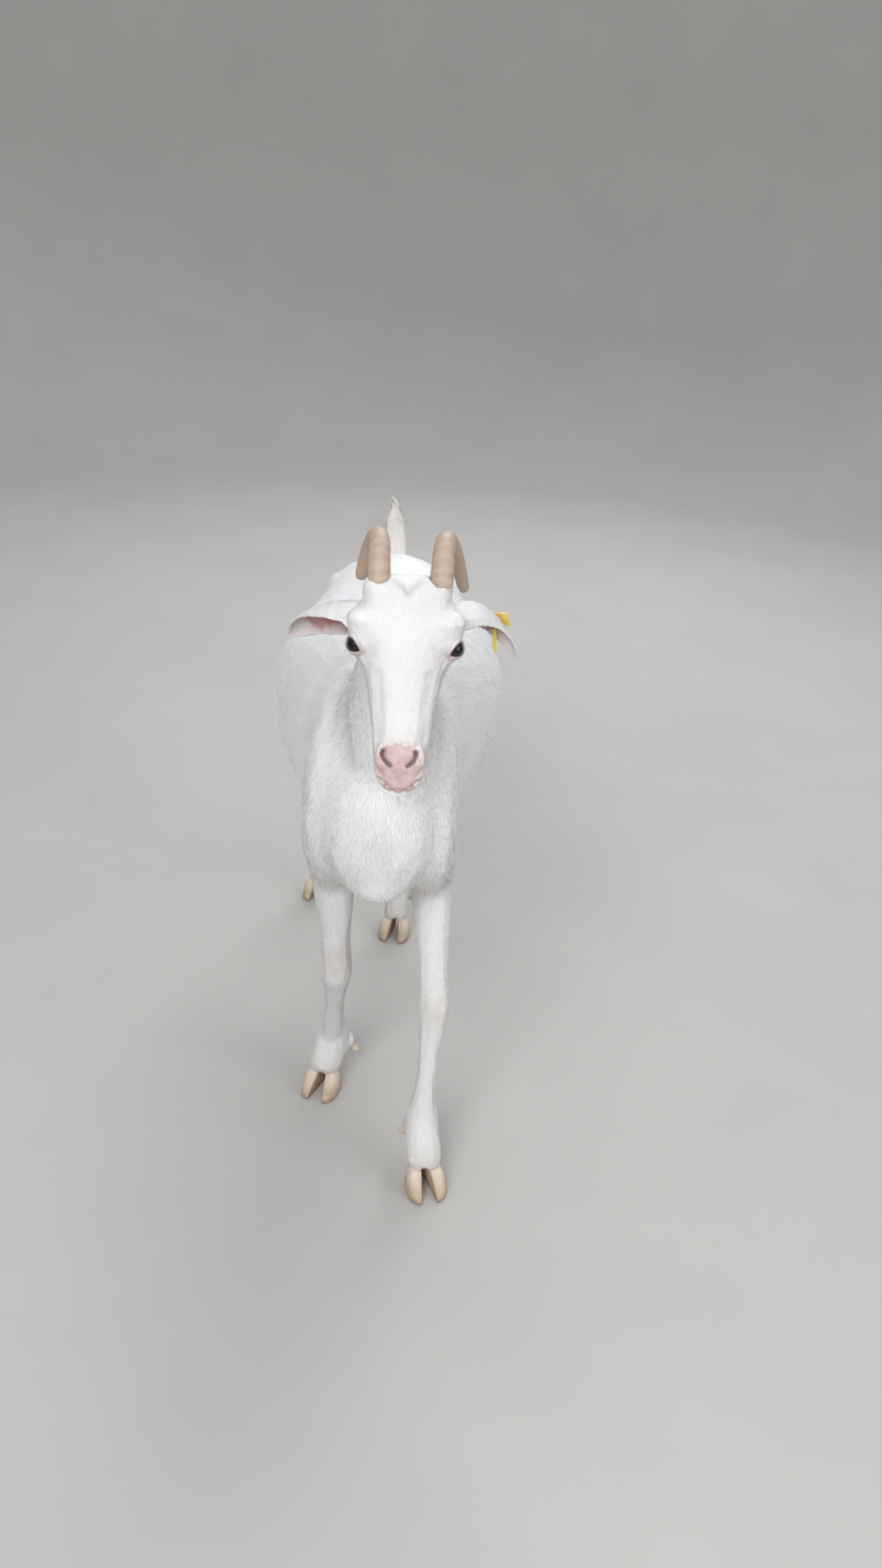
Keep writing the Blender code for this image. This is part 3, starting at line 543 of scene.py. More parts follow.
# On each side of the head: a hollow's place, radii and depth, or a line's places, width and depth. A place is
# below the poll, out of the face and aside. What has a depth below zero stands up.
HEAD_HOLLOWS = {
    "over the eye": ((0.026, -0.004, 0.046), (0.016, 0.014, 0.016), 0.0022),
    "brow": ((0.046, 0.010, 0.040), (0.018, 0.012, 0.018), -0.0012),
}
HEAD_LINES = {
    "tear": (((0.090, -0.010, 0.044), (0.104, -0.012, 0.040), (0.122, -0.016, 0.037)), 0.006, 0.0010),
    "crest": (((0.090, -0.034, 0.049), (0.120, -0.036, 0.043), (0.150, -0.036, 0.038)), 0.010, -0.0014),
    "cheek": (((0.110, -0.058, 0.038), (0.135, -0.062, 0.034), (0.160, -0.058, 0.032)), 0.014, 0.0024),
    "bridge": (((0.105, -0.006, 0.028), (0.145, -0.012, 0.026), (0.172, -0.016, 0.025)), 0.011, 0.0018),
    "jowl": (((0.050, -0.070, 0.046), (0.075, -0.092, 0.040), (0.100, -0.098, 0.034)), 0.010, 0.0014),
}
# The same on the front of the face, where a place is below the poll and aside
NOSE_RIMS = {
    "wing": (((0.183, 0.022), (0.193, 0.0245), (0.204, 0.020)), 0.006, -0.0016),
    "inner rim": (((0.186, 0.0125), (0.196, 0.009), (0.206, 0.006)), 0.005, -0.0010),
}
BROW_SPLIT = (0.004, 0.018, 0.034)
LIP_SPLIT = (0.199, 0.210, 0.219, 0.2275)
NOSTRIL = ((0.1855, 0.0175), (0.1885, 0.0185), (0.1940, 0.0170), (0.1985, 0.0135), (0.2015, 0.0095))
LIPS_MIDDLE = 0.2305
LIPS_FRONT = ((0.2290, 0.007), (0.2225, 0.0145))
LIPS_SIDE = (
    (0.2120, -0.030, 0.0215), (0.1990, -0.041, 0.0265), (0.1860, -0.049, 0.0285), (0.1770, -0.054, 0.0290),
)
LIP_GROOVE = (0.0036, 0.0017)  # width and depth
UPPER_LIP, LOWER_LIP = (0.0055, 0.0055, -0.0006), (-0.0050, 0.0055, -0.0005)  # over the mouth, width, depth
NOSE_ASIDE = 0.001  # how far the middle of the nose lies to the right


def shape_head(clay):
    """Bones and folds of the head. Nostrils and mouth are cut last."""
    clay.carve(lambda below, out, aside, s: face(below, out, s * aside), HEAD_HOLLOWS, HEAD_LINES)
    clay.groove(curve([clay.on_face(below, 0) for below in BROW_SPLIT]), 0.010, 0.0016)
    clay.set()
    clay.carve(lambda below, aside, s: clay.on_face(below, s * aside), {}, NOSE_RIMS)
    clay.set()
    for line in nostrils(clay):
        clay.groove(line, 0.0046, 0.0044)
        clay.dent(line[3], (0.0050, 0.0080, 0.0056), 0.0050)
    clay.set()
    clay.groove(mouth(clay), *LIP_GROOVE)
    for above, width, depth in (UPPER_LIP, LOWER_LIP):
        clay.groove(mouth(clay, above), width, depth)
    clay.groove(curve([clay.on_face(below, -NOSE_ASIDE) for below in LIP_SPLIT]), 0.0030, 0.0014)
    clay.set()


def nostrils(clay):
    """The comma of each nostril, from its wide top on the side to its thin end below, on the skin."""
    made = []
    for s in SIDES.values():
        spots = [clay.on_face(below, s * aside - NOSE_ASIDE) for below, aside in NOSTRIL]
        made.append(curve(spots, 3))
    return made


def mouth(clay, above=0.0):
    """The line between the lips, from corner to corner, or a line this far above it."""
    halves = []
    for s in (-1, 1):
        half = [clay.on_face(below - above, s * aside) for below, aside in LIPS_FRONT]
        half += [clay.nearest(below - above, out, s * aside) for below, out, aside in LIPS_SIDE]
        halves.append(half)
    return curve([*halves[0][::-1], clay.on_face(LIPS_MIDDLE - above, -NOSE_ASIDE), *halves[1]])


# On the body, a place is aside in metres, and back and up as shares of the trunk's own length and height
BODY_HOLLOWS = {"flank": ((0.105, 0.71, 0.80), (0.050, 0.062, 0.046), 0.0085)}
BODY_LINES = {
    "shoulder blade": (((0.050, 0.30, 0.95), (0.088, 0.335, 0.72), (0.098, 0.34, 0.48)), 0.034, 0.0034),
    "stifle fold": (((0.150, 0.64, 0.66), (0.130, 0.60, 0.46), (0.110, 0.585, 0.30)), 0.030, 0.0045),
    "back": (((0.026, 0.32, 1.0), (0.034, 0.55, 0.985), (0.034, 0.72, 0.99)), 0.024, 0.0026),
    "throat": (((0.050, 0.165, 1.28), (0.058, 0.115, 1.00), (0.050, 0.06, 0.72)), 0.026, 0.0038),
}
LEFT_SHOULDER = (0.104, -0.262, 0.535), (0.035, 0.070, 0.085), 0.0045
BREAST = ((0, 0.010, 0.86), (0, -0.010, 0.66), (0, -0.010, 0.50), (0, 0.010, 0.36))
BREAST_GROOVE = (0.026, 0.0042)
RIB_SPACING, RIB_SLANT, RIB_DEPTH = 0.031, 0.18, 0.0011
TENDON_DEPTH = 0.0012
CLAW_SPLIT = ((-0.06, 0.034), (0.01, 0.036))  # back from the claws' middle, and up
HOCK_CORD = ((0.020, 0.004), (0.052, 0.028), (0.085, 0.060))  # before the point of the hock, and over it


def shape_body(clay):
    """Muscles, hollows and folds of the body and legs."""
    low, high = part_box("trunk")
    size = high - low

    def at(aside, back, up, s=1):
        return Vector((s * aside, low.y + back * size.y, low.z + up * size.z))

    clay.carve(at, BODY_HOLLOWS, BODY_LINES)
    clay.dent(*LEFT_SHOULDER)
    clay.groove(curve([at(*spot) for spot in BREAST]), *BREAST_GROOVE)
    share = (clay.places[:, 1] - low.y) / size.y
    barrel = smoothstep(0.34, 0.44, share) * smoothstep(0.72, 0.62, share)
    flank = smoothstep(0.35, 0.8, np.abs(clay.normals[:, 0]))
    ribs = np.sin((clay.places[:, 1] + RIB_SLANT * clay.places[:, 2]) * 2 * math.pi / RIB_SPACING)
    clay.push(barrel * flank * (ribs * 0.5 + 0.5), RIB_DEPTH)
    clay.set()
    for foot in FEET:
        claws = (middle(f"claw_{foot}_inner") + middle(f"claw_{foot}_outer")) / 2
        clay.push(beside_tendons(clay, *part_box(f"leg_{foot}")), TENDON_DEPTH)
        clay.groove([Vector((claws.x, claws.y + back, up)) for back, up in CLAW_SPLIT], 0.010, 0.0030)
    for foot in ("hind_left", "hind_right"):
        hock = hock_point(foot)
        clay.groove(curve([hock + Vector((0, -ahead, up)) for ahead, up in HOCK_CORD]), 0.022, -0.0045)
    clay.set()


def beside_tendons(clay, low, high):
    """Where the sides of a lower leg are hollow, beside its bones and tendons."""
    x, y, z = clay.places.T
    inside = (x > low.x - 0.01) & (x < high.x + 0.01) & (y > low.y - 0.01) & (y < high.y + 0.01)
    side = smoothstep(0.55, 0.95, np.abs(clay.normals[:, 0]))
    shank = smoothstep(0.09, 0.13, z) * smoothstep(0.40, 0.30, z)
    return inside * side * shank


def lie_of_hair(skin, parts):
    """The way the hair points at each vertex, along the surface, easing from part to part."""
    mesh = skin.data
    places, normals, edges = places_of(mesh), normals_of(mesh), edges_of(mesh)
    lie = np.zeros_like(places)
    for index, node in enumerate(FLESH):
        here = parts == index
        if kind_of(node) in LIE:
            lie[here] = LIE[kind_of(node)]
        elif node == "head":
            lie[here] = head_lie(places[here])
        elif node == "tail":
            aside = places[here][:, 0] - middle("tail").x
            lie[here] = np.column_stack([aside / 0.012 * 0.45, np.zeros(len(aside)), np.ones(len(aside))])
        else:
            lie[here] = ear_lie(places[here], node)
    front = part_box("trunk")[0].y
    chest = smoothstep(front + 0.20, front + 0.05, places[:, 1]) * smoothstep(0.20, 0.35, places[:, 2])
    chest = (chest * among(parts, "trunk", "neck"))[:, None]
    lie = lie * (1 - chest) + np.array(LIE["chest"]) * chest
    lie = unit(lie - normals * (lie * normals).sum(1, keepdims=True))
    for _ in range(30):
        lie = 0.4 * lie + 0.6 * neighbour_mean(edges, lie)
        lie = unit(lie - normals * (lie * normals).sum(1, keepdims=True))
    return lie


def head_lie(places):
    """Up the face from the nose and spreading to the sides, and back along the cheeks and jaw."""
    below, out, aside = face_shares(places)
    up = -np.array(DOWN_FACE)
    front = smoothstep(-0.055, -0.015, out)[:, None]
    spread = (np.sign(aside) * smoothstep(0.002, 0.03, np.abs(aside)) * 0.55)[:, None]
    face_way = up + spread * np.array([1.0, 0.3, 0])
    crown = smoothstep(0.035, 0.0, below)[:, None]
    way = face_way * front + np.array(LIE["cheek"]) * (1 - front)
    return way * (1 - crown) + np.array(LIE["crown"]) * crown


def ear_line(node):
    """The middle of an ear's cup from root to tip, as a few points."""
    s = SIDES[node.split("_")[1]]
    places = places_of(NODES[node].data)
    reach = places[:, 0] * s
    edges = np.linspace(reach.min(), reach.max(), 9)
    line = []
    for low, high in zip(edges, edges[1:]):
        inside = places[(reach >= low - 0.004) & (reach <= high + 0.004)]
        if len(inside):
            line.append((inside.min(0) + inside.max(0)) / 2)
    return np.array(line)


def ear_lie(places, node):
    line = ear_line(node)
    nearest = np.linalg.norm(places[:, None] - line[None], axis=2).argmin(1)
    ways = np.gradient(line, axis=0)
    return unit(ways)[nearest]


def in_the_ears(places, normals, parts):
    """1 in the hollow of each ear, and the shares of the way from root to tip and from low rim to high."""
    hollow, share, rise = np.zeros(len(places)), np.zeros(len(places)), np.zeros(len(places))
    for index, node in enumerate(FLESH):
        if kind_of(node) != "ear":
            continue
        here = parts == index
        line = ear_line(node)
        spots = places[here]
        nearest = np.linalg.norm(spots[:, None] - line[None], axis=2).argmin(1)
        inward = unit(line[nearest] - spots)
        hollow[here] = smoothstep(-0.1, 0.35, (inward * normals[here]).sum(1))
        share[here] = nearest / (len(line) - 1)
        lows = np.array([spots[nearest == k, 2].min(initial=9) for k in range(len(line))])
        highs = np.array([spots[nearest == k, 2].max(initial=-9) for k in range(len(line))])
        rise[here] = (spots[:, 2] - lows[nearest]) / np.maximum(highs - lows, 0.001)[nearest]
    return hollow, share, rise


NOSE_TOP = 0.179  # below the poll
NOSE_HALF = (0.176, 0.200, 0.216, 0.232), (0.020, 0.0235, 0.0185, 0.012)  # below the poll, half its width
POLL_ARMS = (-0.013, 0.015)  # how far aside each arm of the grey V on the poll reaches
WORN_KNEES = {"fore_left": 0.16, "fore_right": 0.30}


class Marks:
    """Shares of pink, cream, grey with painted shade, and bareness on the skin. The strongest that is laid on
    a place stays.
    """

    def __init__(self, clay, parts):
        self.clay, self.places, self.normals, self.parts = clay, clay.places, clay.normals, parts
        self.head = among(parts, "head")
        self.shares = {kind: np.zeros(len(parts)) for kind in ("pink", "cream", "grey", "bare")}

    def lay(self, **shares):
        for kind, share in shares.items():
            self.shares[kind] = np.maximum(self.shares[kind], share)


def mark_muzzle(marks):
    """A pink nose that breaks up at its edge, pink lips, and dark painted shade in the slit between them and
    in the nostrils.
    """
    places, head = marks.places, marks.head
    below, out, aside = face_shares(places)
    inside = np.interp(below, *NOSE_HALF) - np.abs(aside + NOSE_ASIDE) + 0.0018 * waves(places, 0.009, 3)
    top = below - NOSE_TOP - 0.004 * np.abs(aside / 0.02) ** 2 + 0.0018 * waves(places, 0.007, 9)
    nose = smoothstep(-0.0035, 0.0025, inside) * smoothstep(-0.004, 0.003, top) * head
    nose *= smoothstep(-0.052, -0.040, out)
    marks.lay(pink=nose * (0.61 + 0.09 * waves(places, 0.010, 4)))
    marks.lay(grey=nose * (0.07 + 0.05 * waves(places, 0.006, 14)))
    haze = smoothstep(0.155, 0.200, below) * smoothstep(0.036, 0.020, np.abs(aside)) * head
    marks.lay(pink=haze * smoothstep(-0.075, -0.04, out) * 0.22)
    marks.lay(bare=smoothstep(0.0005, 0.0040, inside) * smoothstep(0.000, 0.005, top) * (out > -0.05) * head)
    lips = away_from_line(places, mouth(marks.clay), 0.020)
    marks.lay(
        pink=smoothstep(0.0065, 0.0015, lips) * head * 0.70,
        bare=smoothstep(0.0050, 0.0025, lips) * head,
        # the grey along the mouth line is painted shade in the slit between the lips
        grey=smoothstep(0.0022, 0.0004, lips) * 0.55,
    )
    for line in nostrils(marks.clay):
        slit = away_from_line(places, line, 0.010)
        # the grey in each nostril is painted shade in its opening
        marks.lay(bare=smoothstep(0.0060, 0.0035, slit), grey=smoothstep(0.0042, 0.0010, slit) * 0.88)


def mark_eyes(marks):
    """Dark, bare rims, and pink in the corners of the eyes."""
    for side in SIDES:
        off, reach, _, a, _ = off_the_eye(marks.places, side)
        near = (reach < 0.030) & (off < 0.02)
        corner = smoothstep(0.35, 0.95, np.abs(a) / FISSURE_HALF)
        marks.lay(
            pink=near * smoothstep(0.010, 0.0005, off) * (0.10 + 0.45 * corner),
            grey=near * smoothstep(0.0022, 0.0006, off) * (0.90 - 0.45 * corner),
            bare=near * smoothstep(0.0012, 0.0003, off),
        )


def mark_ears(marks):
    """Pink, bare hollows, with painted shade of the deep ear canal at their roots."""
    hollow, along, up = in_the_ears(marks.places, marks.normals, marks.parts)
    deep = hollow * smoothstep(0.90, 0.60, along) * smoothstep(0.12, 0.38, up)
    # the grey at the roots of the hollows is painted shade of the deep ear canal
    marks.lay(pink=hollow * 0.16 + deep, bare=deep * 0.92, grey=hollow * smoothstep(0.26, 0.06, along) * 0.45)


def mark_poll(marks):
    """A faint grey V of two arms on the poll, between the horns."""
    for reach in POLL_ARMS:
        spots = ((0.006, reach - 0.002), (0.013, reach * 0.5), (0.022, 0.0))
        arm = away_from_line(marks.places, curve([marks.clay.on_face(b, x) for b, x in spots]), 0.012)
        shade = 0.20 + 0.10 * waves(marks.places, 0.007, 8)
        marks.lay(grey=smoothstep(0.006, 0.001, arm) * shade * marks.head)


def mark_body(marks):
    """Pink teats, a bare tail tip, and cream on the tail, the belly, the pasterns and the worn knees."""
    places, tail = marks.places, among(marks.parts, "tail")
    marks.lay(bare=tail * (places[:, 2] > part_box("tail")[1].z - 0.008), cream=tail * 0.22)
    for tip in teat_tips():
        away = np.linalg.norm(places - tip, axis=1)
        marks.lay(pink=smoothstep(0.042, 0.016, away) * 0.60, bare=smoothstep(0.034, 0.020, away))
    for foot, worn in WORN_KNEES.items():
        away = np.linalg.norm((places - knee_front(foot)) / np.array([1, 1, 1.3]), axis=1)
        marks.lay(cream=smoothstep(0.034, 0.012, away) * (worn + 0.10 * waves(places, 0.009, 5)))
    marks.lay(cream=smoothstep(0.09, 0.02, places[:, 2]) * (0.42 + 0.2 * waves(places, 0.016, 6)))
    under = smoothstep(0.2, 0.9, -marks.normals[:, 2]) * smoothstep(0.30, 0.40, places[:, 2])
    marks.lay(cream=under * 0.10)


def markings(clay, parts):
    """Pink, cream, and grey with the painted shade of the nostrils, the mouth and the ear roots on the white
    coat, and where the skin is bare of hair, from 0 to 1.
    """
    marks = Marks(clay, parts)
    for mark in (mark_muzzle, mark_eyes, mark_ears, mark_poll, mark_body):
        mark(marks)
    pink, cream, grey, bare = marks.shares.values()
    cream = cream + 0.05 * np.clip(waves(marks.places, 0.09, 7), 0, 1)
    return np.clip(np.stack([pink, cream, grey], 1), 0, 1), np.clip(bare, 0, 1)


def knee_front(foot):
    """The foremost point of a fore leg at the height of its knee."""
    places = places_of(NODES[f"leg_{foot}"].data)
    knee = places[np.abs(places[:, 2] - KNEE_HEIGHT) < 0.03]
    return knee[knee[:, 1].argmin()]


EVENING_ROUNDS, ROUNDING_ROUNDS = 40, 16
HOCK_REACH = 0.045
CHIN, CHIN_REACH = (0.232, -0.045), 0.024
EYES_FINE, EYES_FINEST = 0.030, 0.019  # how far round the eyes the skin is split once, and twice


def build_skin():
    """One skin without a seam for head, neck, trunk, tail, legs and ears."""
    skin = fused_flesh()
    mesh = skin.data
    parts = parts_at(places_of(mesh))
    coat = coat_shares(places_of(mesh), parts, edges_of(mesh))
    relax(mesh, np.clip(coat[:, 4], 0, 1), EVENING_ROUNDS)
    sharp = [(hock_point(foot), HOCK_REACH) for foot in ("hind_left", "hind_right")]
    soften(mesh, [*sharp, (face(*CHIN), CHIN_REACH)], ROUNDING_ROUNDS)
    drawn_in(mesh, parts, coat[:, 0])
    split_fine(skin, EYES_FINE, True)
    split_fine(skin, EYES_FINEST, False)
    clay = Clay(mesh)
    shape_body(clay)
    shape_head(clay)
    shape_eyes(clay)
    lighten(skin)
    mesh.shade_smooth()
    return skin


def drawn_in(mesh, parts, depth):
    """Moves the skin inside the flesh by the coat's depth, and by what the flesh was swollen by."""
    height = places_of(mesh)[:, 2]
    is_ear = among(parts, "ear").astype(float)[:, None]
    for _ in range(4):
        is_ear = 0.5 * is_ear + 0.5 * neighbour_mean(edges_of(mesh), is_ear)
    inward = DRAWN_OUT * (1 - is_ear[:, 0]) + depth
    shrunk = SHRUNK_LEG * among(parts, "leg") * smoothstep(0.42, 0.34, height)
    inward -= shrunk * smoothstep(0.030, 0.045, height)
    set_places(mesh, places_of(mesh) - normals_of(mesh) * inward[:, None])


def split_fine(skin, reach, muzzle_too):
    """Splits the skin's faces this near the eyes, and those of the muzzle."""
    places = places_of(skin.data)
    below, out, aside = face_shares(places)
    fine = (below > 0.172) & (np.abs(aside) < 0.05) & (out > -0.09) & (out < 0.05) & muzzle_too
    for side in SIDES:
        fine |= np.linalg.norm(places - np.array(middle(f"eye_{side}")), axis=1) < reach
    subdivided(skin, fine)


def lighten(skin):
    """Fewer faces on the body, and all of them kept on the head."""
    mesh = skin.data
    places = places_of(mesh)
    head_low, head_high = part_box("head")
    on_head = (places[:, 2] > head_low.z - 0.01) & (places[:, 1] < head_high.y)
    body = skin.vertex_groups.new(name="body")
    body.add([int(i) for i in np.flatnonzero(~on_head)], 1.0, "REPLACE")
    mesh.calc_loop_triangles()
    modified(skin, "DECIMATE", ratio=SKIN_TRIANGLES / len(mesh.loop_triangles), vertex_group="body")
    skin.vertex_groups.clear()


def put_attribute(mesh, name, kind, values):
    """Writes a value for each vertex under a name that the materials read."""
    key = {"FLOAT_COLOR": "color", "FLOAT": "value", "FLOAT_VECTOR": "vector"}[kind]
    layer = mesh.attributes.new(name, kind, "POINT")
    layer.data.foreach_set(key, np.ascontiguousarray(values, np.float32).ravel())


# ---------------------------------------------------------------- the coat

COAT_PIECES = {
    "coat_body": ("trunk", "neck"),
    "coat_head": ("head", "ear"),
    "coat_legs": ("leg",),
    "coat_tail": ("tail",),
}
STATIONS = (0.0, 0.52, 1.0)  # shares of a tuft's length
TUFT_WIDTHS = (0.80, 1.00)
TUFT_RISE = (-0.12, 0.62, 0.80)  # shares of the coat's depth
STRAY, STRAY_RISE = 0.05, 1.7  # the share of tufts whose tips stand clear, and by how much
TAIL_FLUFF = 2.0  # how much looser the hair is at the top of the tail
TUFT_STEPS = ((-1, 0), (1, 0), (-1, 1), (1, 1), (0, 2))  # across and along a tuft, for each of its corners
TUFT_FACES = np.array([(0, 1, 3), (0, 3, 2), (2, 3, 4)])
ROUND = 0.17  # how round a tuft is shaded
PATCH = 0.0015  # half of a tuft's patch on the unwrap
TUFTS_IN_A_PIECE = 64000
LEAVES_SKIN = 0.006  # a tuft whose next station is farther than this from the skin goes straight on


def rooted(skin, coat, bare, share):
    """Random but even places for tufts: the face each stands on, and its weights on the corners."""
    mesh = skin.data
    mesh.calc_loop_triangles()
    corners = read(mesh.loop_triangles, "vertices", 3, np.int32)
    loops = read(mesh.loop_triangles, "loops", 3, np.int32)
    area = read(mesh.loop_triangles, "area")
    spacing = coat[corners, 3].mean(1)
    thin = 1 - bare[corners].mean(1)
    wanted = area / spacing**2 * thin * share
    count = np.floor(wanted + rng.random(len(wanted))).astype(int)
    face_of = np.repeat(np.arange(len(count)), count)
    a, b = rng.random(len(face_of)), rng.random(len(face_of))
    flip = a + b > 1
    a[flip], b[flip] = 1 - a[flip], 1 - b[flip]
    weights = np.stack([1 - a - b, a, b], 1)
    return corners[face_of], loops[face_of], weights


def mixed(values, corners, weights):
    return (values[corners] * weights[:, :, None]).sum(1)


def grow_coat(skin, parts, coat, lie, marks, bare):
    """Flat tufts over the whole skin, laid along the hair's lie, in pieces by part of the body."""
    mesh = skin.data
    corners, loops, weights = rooted(skin, coat, bare, 1.0)
    root = mixed(places_of(mesh), corners, weights)
    up = unit(mixed(normals_of(mesh), corners, weights))
    way = unit(mixed(lie, corners, weights))
    depth, length, width, _, _ = mixed(coat, corners, weights).T
    owner = parts[corners[:, 0]]
    count = len(root)

    length = length * rng.uniform(0.75, 1.25, count)
    width = width * rng.uniform(0.75, 1.20, count)
    lift = depth * rng.uniform(0.50, 1.15, count)
    low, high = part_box("tail")
    on_tail = among(owner, "tail")
    lift *= 1 + TAIL_FLUFF * on_tail * smoothstep(low.z + 0.02, high.z - 0.02, root[:, 2])
    turn = 0.15 * waves(root, 0.032, 21) + 0.10 * waves(root, 0.011, 22) + rng.normal(0, 0.07, count)
    spots, ups, ways = laid_along(mesh, lie, root, up, way, length, turn)
    level = on_tail & (spots[-1][:, 2] - root[:, 2] < 0.4 * length)
    owner = np.where(level, -1, owner)  # hair of the tail that would stand out sideways is left off

    verts, shading = [], []
    roll = rng.normal(0, 0.08, count)[:, None]
    tip_rise = np.where(rng.random(count) < STRAY, STRAY_RISE, TUFT_RISE[-1])
    for across_step, along_step in TUFT_STEPS:
        normal, forward = ups[along_step], ways[along_step]
        rise = tip_rise if along_step == len(STATIONS) - 1 else TUFT_RISE[along_step]
        spot = spots[along_step] + normal * (lift * rise)[:, None]
        across = unit(np.cross(forward, normal)) + normal * roll
        half = (width * TUFT_WIDTHS[along_step] / 2)[:, None] if across_step else 0
        verts.append(spot + across * half * across_step)
        shading.append(unit(normal + across * (ROUND * across_step + roll) + forward * 0.10))
    grown = {
        "verts": np.stack(verts, 1),
        "shading": np.stack(shading, 1),
        "patch": mixed(read(mesh.uv_layers["OFBake"].uv, "vector", 2), loops, weights),
        "tint": mixed(marks, corners, weights),
        "tone": rng.random(count),
    }
    return split_coat(owner, root, grown)


def laid_along(mesh, lie, root, up, way, length, turn):
    """The places, surface ways and hair ways of each tuft's stations, which follow the skin from its root."""
    tree = tree_of(mesh)
    first = read(mesh.polygons, "loop_start", 1, np.int32)
    face_lie = lie[read(mesh.loops, "vertex_index", 1, np.int32)[first]]
    spots, ups, ways = [root], [up], [turned_about(way, up, turn)]
    for before, after in zip(STATIONS, STATIONS[1:]):
        aim = spots[-1] + ways[-1] * (length * (after - before))[:, None]
        found = [tree.find_nearest(p) for p in aim.tolist()]
        spot = np.array([f[0] for f in found])
        normal = np.array([f[1] for f in found])
        ahead = turned_about(face_lie[np.array([f[2] for f in found])], normal, turn * 0.6)
        nearby = (np.linalg.norm(spot - aim, axis=1) < LEAVES_SKIN)[:, None]
        spots.append(np.where(nearby, spot, aim))
        ups.append(unit(np.where(nearby, 0.5 * normal + 0.5 * ups[-1], ups[-1])))
        ways.append(unit(0.5 * ahead + 0.5 * ways[-1]))
    return spots, ups, ways


def turned_about(ways, ups, angle):
    """Directions turned on the surface by an angle each."""
    return unit(ways * np.cos(angle)[:, None] + np.cross(ways, ups) * np.sin(angle)[:, None])


def split_coat(owner, root, grown):
    """Makes the pieces, none with more than TUFTS_IN_A_PIECE tufts. Makes the pieces,
    each under the limit of faces.
    """
    made = []
    for name, kinds in COAT_PIECES.items():
        chosen = np.flatnonzero(among(owner, *kinds))
        chosen = chosen[np.argsort(root[chosen, 1], kind="stable")]
        runs = max(1, math.ceil(len(chosen) / TUFTS_IN_A_PIECE))
        for k, run in enumerate(np.array_split(chosen, runs)):
            piece = name if runs == 1 else f"{name}_{k + 1}"
            made.append(tuft_mesh(piece, **{key: values[run] for key, values in grown.items()}))
    return made


def tuft_mesh(name, verts, shading, patch, tint, tone):
    """One piece of the coat. Its patches lie as their roots do on the unwrap, spread to fill the map."""
    count, each = verts.shape[:2]
    low, high = patch.min(0), patch.max(0)
    middles = 2 * PATCH + (1 - 4 * PATCH) * (patch - low) / (high - low)
    steps = np.array(TUFT_STEPS, float)
    cell = middles[:, None] + PATCH * np.stack([steps[:, 0], steps[:, 1] - 1], 1)[None]
    faces = (TUFT_FACES[None] + (np.arange(count) * each)[:, None, None]).reshape(-1, 3)
    mesh = bpy.data.meshes.new(name)
    mesh.vertices.add(count * each)
    mesh.vertices.foreach_set("co", verts.astype(np.float32).ravel())
    mesh.loops.add(faces.size)
    mesh.loops.foreach_set("vertex_index", faces.astype(np.int32).ravel())
    mesh.polygons.add(len(faces))
    mesh.polygons.foreach_set("loop_start", np.arange(0, faces.size, 3, dtype=np.int32))
    mesh.update(calc_edges=True)
    layer = mesh.uv_layers.new(name="OFBake")
    layer.uv.foreach_set("vector", cell.reshape(-1, 2)[faces.ravel()].astype(np.float32).ravel())
    colours = np.empty((count, each, 4), np.float32)
    colours[:, :, :3] = tint[:, None]
    colours[:, :, 3] = tone[:, None]
    put_attribute(mesh, "marks", "FLOAT_COLOR", colours)
    put_attribute(mesh, "tip", "FLOAT", np.tile([STATIONS[along] for _, along in TUFT_STEPS], count))
    mesh.shade_smooth()
    mesh.normals_split_custom_set_from_vertices(shading.reshape(-1, 3).astype(np.float32))
    obj = bpy.data.objects.new(name, mesh)
    bpy.context.scene.collection.objects.link(obj)
    return obj


# ---------------------------------------------------------------- materials

